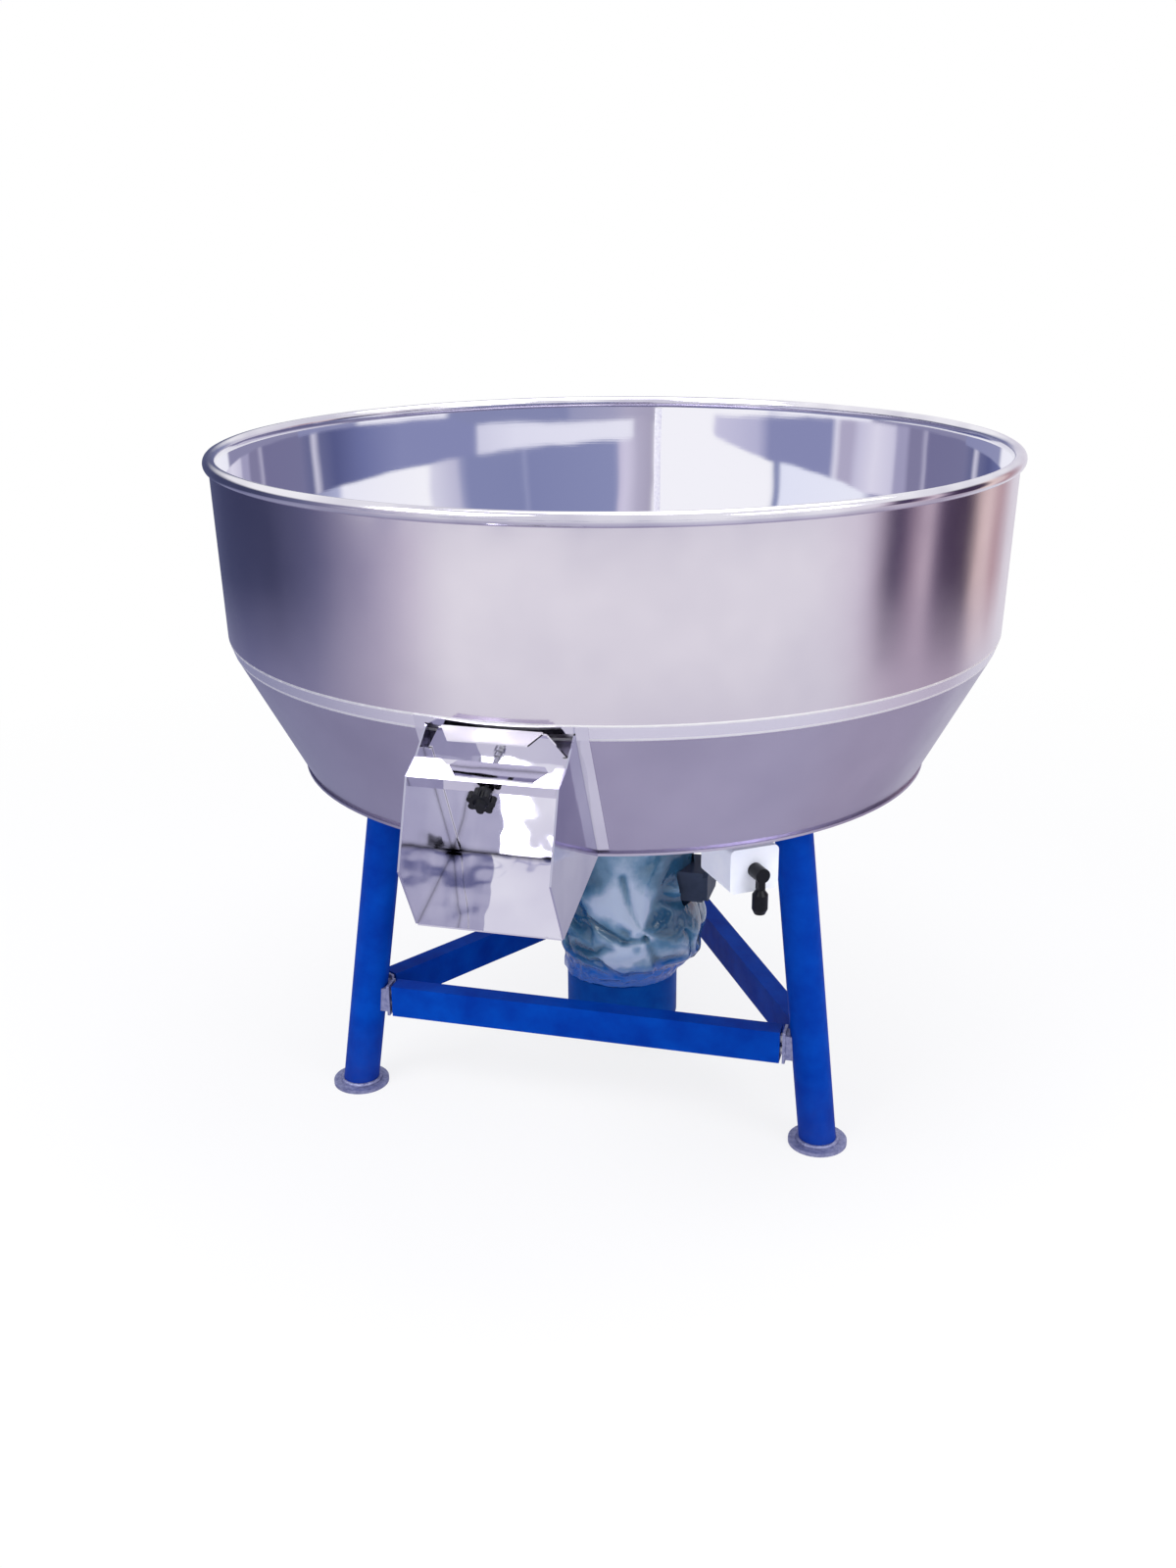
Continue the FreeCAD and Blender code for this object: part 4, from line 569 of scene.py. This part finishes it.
def wrap_bag():
    """The film bag tied over the drive: its film is a little longer than the way round,
    so it wrinkles where it rests on the drive and sags over its tied mouth."""
    bag = film_tube("film_bag")
    cut_slit(bag)
    let_settle(bag)
    stand_off = bag.data.attributes.new("stand_off", "FLOAT", "POINT")
    for vertex, value in zip(bag.data.vertices, stand_off.data):
        middle, radius = bag_ring(vertex.co.z)
        reach = Vector((vertex.co.x - MOTOR_X - middle, vertex.co.y)).length
        value.value = min(1.0, max(0.0, (reach - radius + 0.003) / 0.021))
    apply_modifier(bag, "SUBSURF", levels=1, render_levels=1)
    apply_modifier(bag, "SOLIDIFY", thickness=FILM, offset=-1)
    settle(bag, film, "stand", 75)
    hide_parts("dust_bag")


roll_rim()
run_foot_welds()
wrap_bag()
lay_seam("pan_seam_inner", side=-1, width=0.016, crown=0.0006)
lay_seam("pan_seam_outer", side=1, width=0.008, crown=0.0004)


# Studio

def white_seen(tree, share):
    """Camera, glossy and see-through rays meet white, by the given share."""
    path = add(tree, "LightPath").outputs
    seen = calc(tree, "MAXIMUM", path["Is Camera Ray"], path["Is Glossy Ray"])
    seen = calc(tree, "MAXIMUM", seen, path["Is Transmission Ray"])
    return calc(tree, "MULTIPLY", seen, share)


def turn_from_front(tree, place):
    """How far round the mixer a place lies, 0 at the back, 0.5 in front and 1 at the back
    again, by way of the left first."""
    parts = add(tree, "SeparateXYZ", {"Vector": place}).outputs
    ahead = calc(tree, "MULTIPLY", parts["Y"], -1.0)
    return ramped(tree, calc(tree, "ARCTAN2", parts["X"], ahead), -math.pi, math.pi)


def tones_round(tree, share, stops):
    """Colours round the mixer, by their turn from the front in degrees."""
    places = [((turn + 180) / 360, linear(code)) for turn, code in stops]
    return add(tree, "ValToRGB", {"Fac": share}, places).outputs["Color"]


def levels_round(tree, share, stops):
    """Heights round the mixer, by their turn from the front in degrees."""
    low, high = 0.8, 1.2
    places = [((turn + 180) / 360, [(level - low) / (high - low)] * 3 + [1])
              for turn, level in stops]
    grey = add(tree, "ValToRGB", {"Fac": share}, places).outputs["Color"]
    return ramped(tree, grey, 0.0, 1.0, low, high)


def mirrored_only(piece):
    """Let a piece of the stage be met by mirrors and by nothing else."""
    piece.visible_camera = False
    piece.visible_diffuse = False
    piece.visible_shadow = False
    piece.visible_transmission = False


# What steel mirrors far off, round the mixer: turn from the front and tone
FAR_TONES = [(-180, "F0EEF4"), (-140, "9A9CB8"), (-105, "787A9C"), (-70, "9090AC"),
             (-45, "CFCAD8"), (-25, "FFFFFF"), (70, "FFFFFF"), (88, "D2C6D2"), (116, "C2B4C2"),
             (134, "F0EEF4"), (180, "F0EEF4")]


def light_world():
    world = bpy.data.worlds.new("studio")
    scene.world = world
    world.use_nodes = True
    tree = world.node_tree
    tree.nodes.clear()
    fill = add(tree, "Background", {"Color": linear("DCDDEC"), "Strength": 0.75})
    backdrop = add(tree, "Background", {"Color": linear("FFFFFF"), "Strength": 1.0})
    both = add(tree, "MixShader", {0: white_seen(tree, 1.0), 1: fill.outputs[0],
                                   2: backdrop.outputs[0]})
    add(tree, "OutputWorld", {"Surface": both.outputs[0]})


def lay_floor():
    """A pale floor that keeps the shadow. Steel mirrors it greyer close to the mixer, and
    far off in the tones of the screen's foot."""
    bpy.ops.mesh.primitive_plane_add(size=60, location=(0, 0, -0.0005))
    floor = bpy.context.object
    floor.name = "studio_floor"
    material, tree, place = blank("pale_studio_floor")
    matt = add(tree, "BsdfDiffuse", {"Color": linear("F2F2F4")})
    far = add(tree, "VectorMath", {0: place}, operation="LENGTH").outputs["Value"]
    share = ramped(tree, far, 0.8, 3.0, 0.82, 1.0)
    mirrored = add(tree, "LightPath").outputs["Is Glossy Ray"]
    turned = turn_from_front(tree, place)
    near = tones_round(tree, turned, [
        (-180, "C4C2D0"), (-140, "9A9CB8"), (-105, "8688A7"), (-70, "908EAA"), (-50, "A19EB7"),
        (-25, "BFBBCE"), (70, "BFBBCE"), (88, "B9B0C2"), (118, "ABA2B8"), (142, "C4C2D0"),
        (180, "C4C2D0")])
    beyond = tones_round(tree, turned, FAR_TONES)
    greyed = blend(tree, ramped(tree, far, 0.9, 3.4), near, beyond)
    tone = blend(tree, mirrored, linear("FFFFFF"), greyed)
    glow = add(tree, "Emission", {"Color": tone, "Strength": 1.0})
    both = add(tree, "MixShader", {0: white_seen(tree, share), 1: matt.outputs[0],
                                   2: glow.outputs[0]})
    close(tree, both)
    floor.data.materials.append(material)


def hang_lamp(name, place, size, power, target=(0, 0, 0.8)):
    """A soft rectangular lamp that faces its target."""
    lamp = bpy.data.lights.new(name, "AREA")
    lamp.shape = "RECTANGLE"
    lamp.size, lamp.size_y = size
    lamp.energy = power
    holder = bpy.data.objects.new(name, lamp)
    scene.collection.objects.link(holder)
    holder.location = place
    holder.rotation_euler = (Vector(target) - Vector(place)).to_track_quat("-Z", "Y").to_euler()
    return holder


def stand_surroundings():
    """A round studio screen that only the steel mirrors: dark to the left of the mixer and
    to its right, white ahead and behind, with a mottled strip ahead at half its height."""
    radius, height = 3.3, 2.4
    bpy.ops.object.select_all(action="DESELECT")
    bpy.ops.mesh.primitive_cylinder_add(vertices=96, radius=radius, depth=height,
                                        end_fill_type="NOTHING", location=(0, 0, height / 2))
    screen = bpy.context.object
    screen.name = "studio_screen"
    bpy.ops.object.transform_apply(location=True, rotation=False, scale=False)
    material, tree, place = blank("studio_screen_cloth")
    level = height_at(tree, place)
    turned = turn_from_front(tree, place)
    colour = tones_round(tree, turned, [
        (-180, "E4E2EC"), (-166, "8E92B4"), (-140, "5E6384"), (-112, "474C6C"), (-84, "444866"),
        (-66, "6A6C8C"), (-50, "A8A4BC"), (-36, "E0DAE6"), (-26, "FFFFFF"), (62, "FFFFFF"),
        (79, "F4EEF4"), (83, "B8A6B8"), (85, "3C3052"), (90, "4E4060"), (94, "A48FA0"),
        (99, "F2E0E6"), (103, "7A6884"), (106, "453652"), (119, "4A3D54"), (124, "FBE2D8"),
        (130, "F8E2DC"), (136, "C09CA0"), (150, "EFEAF0"), (180, "E4E2EC")])
    ahead = tones_round(tree, turned, [
        (-58, "000000"), (-46, "FFFFFF"), (40, "FFFFFF"), (70, "000000")])
    strip = calc(tree, "MULTIPLY", ramped(tree, level, 0.50, 0.56), ramped(tree, level, 0.98, 0.84))
    mottle = speckle(tree, place, 300, [(0.40, linear("7A7FA6")), (0.46, linear("C4C5DA")),
                                        (0.52, linear("FFFFFF"))], 4, (1, 1, 2.4))
    colour = blend(tree, calc(tree, "MULTIPLY", strip, ahead), colour, mottle)
    foot = ramped(tree, level, 0.0, 0.3, 0.85, 0.0)
    colour = blend(tree, foot, colour, tones_round(tree, turned, FAR_TONES))
    tone = blend(tree, ramped(tree, level, 1.7, 2.3), colour, linear("FFFFFF"))
    close(tree, add(tree, "Emission", {"Color": tone, "Strength": 1.0}))
    screen.data.materials.append(material)
    mirrored_only(screen)


def card_the_pan():
    """A card with a workshop's bands of slate and white, close before the pan's inner face.
    Only a mirror meets it, and only from the middle of the pan: it stands for what the far
    side of the pan throws back."""
    bpy.ops.object.select_all(action="DESELECT")
    bpy.ops.mesh.primitive_cylinder_add(vertices=192, radius=1, depth=1, end_fill_type="NOTHING")
    card = bpy.context.object
    card.name = "studio_pan_card"
    edit_whole(card, (bpy.ops.mesh.subdivide, {"number_cuts": 24}))
    for vertex in card.data.vertices:
        level = PAN_FLOOR + 0.02 + (WALL_TOP - PAN_FLOOR - 0.021) * (vertex.co.z + 0.5)
        spin = math.atan2(vertex.co.y, vertex.co.x)
        radius = inner_radius(level) - 0.0015
        vertex.co = (math.cos(spin) * radius, math.sin(spin) * radius, level)
    material, tree, place = blank("studio_pan_card_print")
    bend = add(tree, "TexNoise", {"Vector": place, "Scale": 3.5, "Detail": 1.0}).outputs["Fac"]
    share = calc(tree, "MULTIPLY_ADD", bend, 0.0035, turn_from_front(tree, place))
    share = calc(tree, "SUBTRACT", share, 0.00175)
    level = calc(tree, "MULTIPLY_ADD", bend, 0.004, height_at(tree, place))
    high = tones_round(tree, share, [
        (-180, "8E8DAA"), (-116, "8F8DAB"), (-113, "F4F4FB"), (-70, "F8F8FC"), (-62, "E4E4F0"),
        (-59, "FFFFFF"), (-7, "FFFFFF"), (-5, "ACA7BC"), (8, "B4B0C6"), (14, "A9A8C2"),
        (33, "9EA0BE"), (36, "8A8FB3"), (92, "8A8FB3"), (95, "F2F2FA"), (140, "F6F6FC"),
        (144, "9497B8"), (180, "8E91B4")])
    middle = tones_round(tree, share, [
        (-180, "7A799A"), (-152, "787698"), (-150, "B9B6CC"), (-147, "8582A0"), (-139, "8582A0"),
        (-137, "A6A3BF"), (-131, "A6A3BF"), (-129, "D3D0E2"), (-118, "E4E1EE"), (-108, "CDCADE"),
        (-104, "B5B0C7"), (-98, "B5B0C7"), (-96, "E9E7F2"), (-93, "8C90B6"), (-62, "8C90B6"),
        (-55, "BDBCD6"), (-34, "CFCDE2"), (-32, "FFFFFF"), (-7, "FFFFFF"), (-5, "A9A4B9"),
        (4, "BBB6CA"), (6, "F0F0F8"), (60, "E8E8F4"), (79, "D9D9E9"), (80.5, "8A8FB6"),
        (119, "8A8FB6"), (140, "7278A4"), (157, "5A5F8A"), (166, "6C6F94"), (170, "D5D3E2"),
        (173, "6A6D92"), (180, "7C7B9C")])
    low = tones_round(tree, share, [
        (-180, "7A7896"), (-118, "A5A4C0"), (-112, "F2F4FC"), (-67.5, "ECEFFB"),
        (-66, "8890B4"), (-64.5, "8890B4"), (-63, "FFFFFF"), (-6, "FFFFFF"), (-4, "ADA8BC"),
        (3, "BBB6CA"), (8, "D6D1E3"), (11, "D2CCE0"), (13, "8D93B8"), (54, "858BB2"),
        (56, "989DBF"), (58, "868CB2"), (84, "878DB3"), (87, "999DBE"), (90, "C4C3D8"),
        (103, "DEDDEA"), (106, "FFFFFF"), (153, "F4F4FB"), (157, "B4B8D4"), (180, "8486A8")])
    sill = levels_round(tree, share, [
        (-180, 0.90), (-115, 0.90), (-90, 0.930), (-62, 0.957), (-50, 0.986), (-34, 1.025),
        (-30, 1.055), (0, 1.055), (4, 1.012), (43, 0.993), (104, 0.959), (180, 0.927)])
    brim = levels_round(tree, share, [
        (-180, 1.084), (-30, 1.084), (0, 1.07), (8, 1.062), (80, 1.062), (92, 1.079), (180, 1.079)])
    over_sill = ramped(tree, calc(tree, "SUBTRACT", level, sill), 0.0, 0.004)
    over_brim = ramped(tree, calc(tree, "SUBTRACT", level, brim), 0.0, 0.004)
    every = blend(tree, over_brim, blend(tree, over_sill, low, middle), high)
    glow = add(tree, "Emission", {"Color": every, "Strength": 1.0})
    clear = add(tree, "BsdfTransparent")
    seen = add(tree, "VectorMath", {0: add(tree, "NewGeometry").outputs["True Normal"], 1: place},
               operation="DOT_PRODUCT").outputs["Value"]
    ahead = calc(tree, "LESS_THAN", seen, 0.0)
    close(tree, add(tree, "MixShader", {0: ahead, 1: clear.outputs[0], 2: glow.outputs[0]}))
    card.data.materials.append(material)
    mirrored_only(card)


def place_camera():
    """The camera that was solved from the rim, the pan's edges, the feet and the braces."""
    right = Vector((0.96615, 0.25792, -0.00768))
    up = Vector((-0.08008, 0.32800, 0.94128))
    back = Vector((0.24529, -0.90879, 0.33755))
    lens = bpy.data.cameras.new("camera")
    lens.sensor_width = 36
    lens.lens = 37.15
    place = (0.69635, -2.76536, 1.5742)
    camera = bpy.data.objects.new("camera", lens)
    scene.collection.objects.link(camera)
    turn = Matrix((right, up, back)).transposed().to_4x4()
    camera.matrix_world = Matrix.Translation(place) @ turn
    scene.camera = camera


place_camera()
light_world()
lay_floor()
hang_lamp("key", (-1.8, -2.6, 3.6), (2.2, 2.2), 90)
hang_lamp("fill", (3.0, -1.6, 2.6), (1.8, 1.8), 45)
hang_lamp("top", (0.3, 0.6, 3.8), (2.6, 2.6), 60)
low_lamp = hang_lamp("low", (1.3, -2.9, 0.9), (1.6, 0.9), 12, (0.2, 0, 0.4))
low_lamp.visible_glossy = False
stand_surroundings()
card_the_pan()
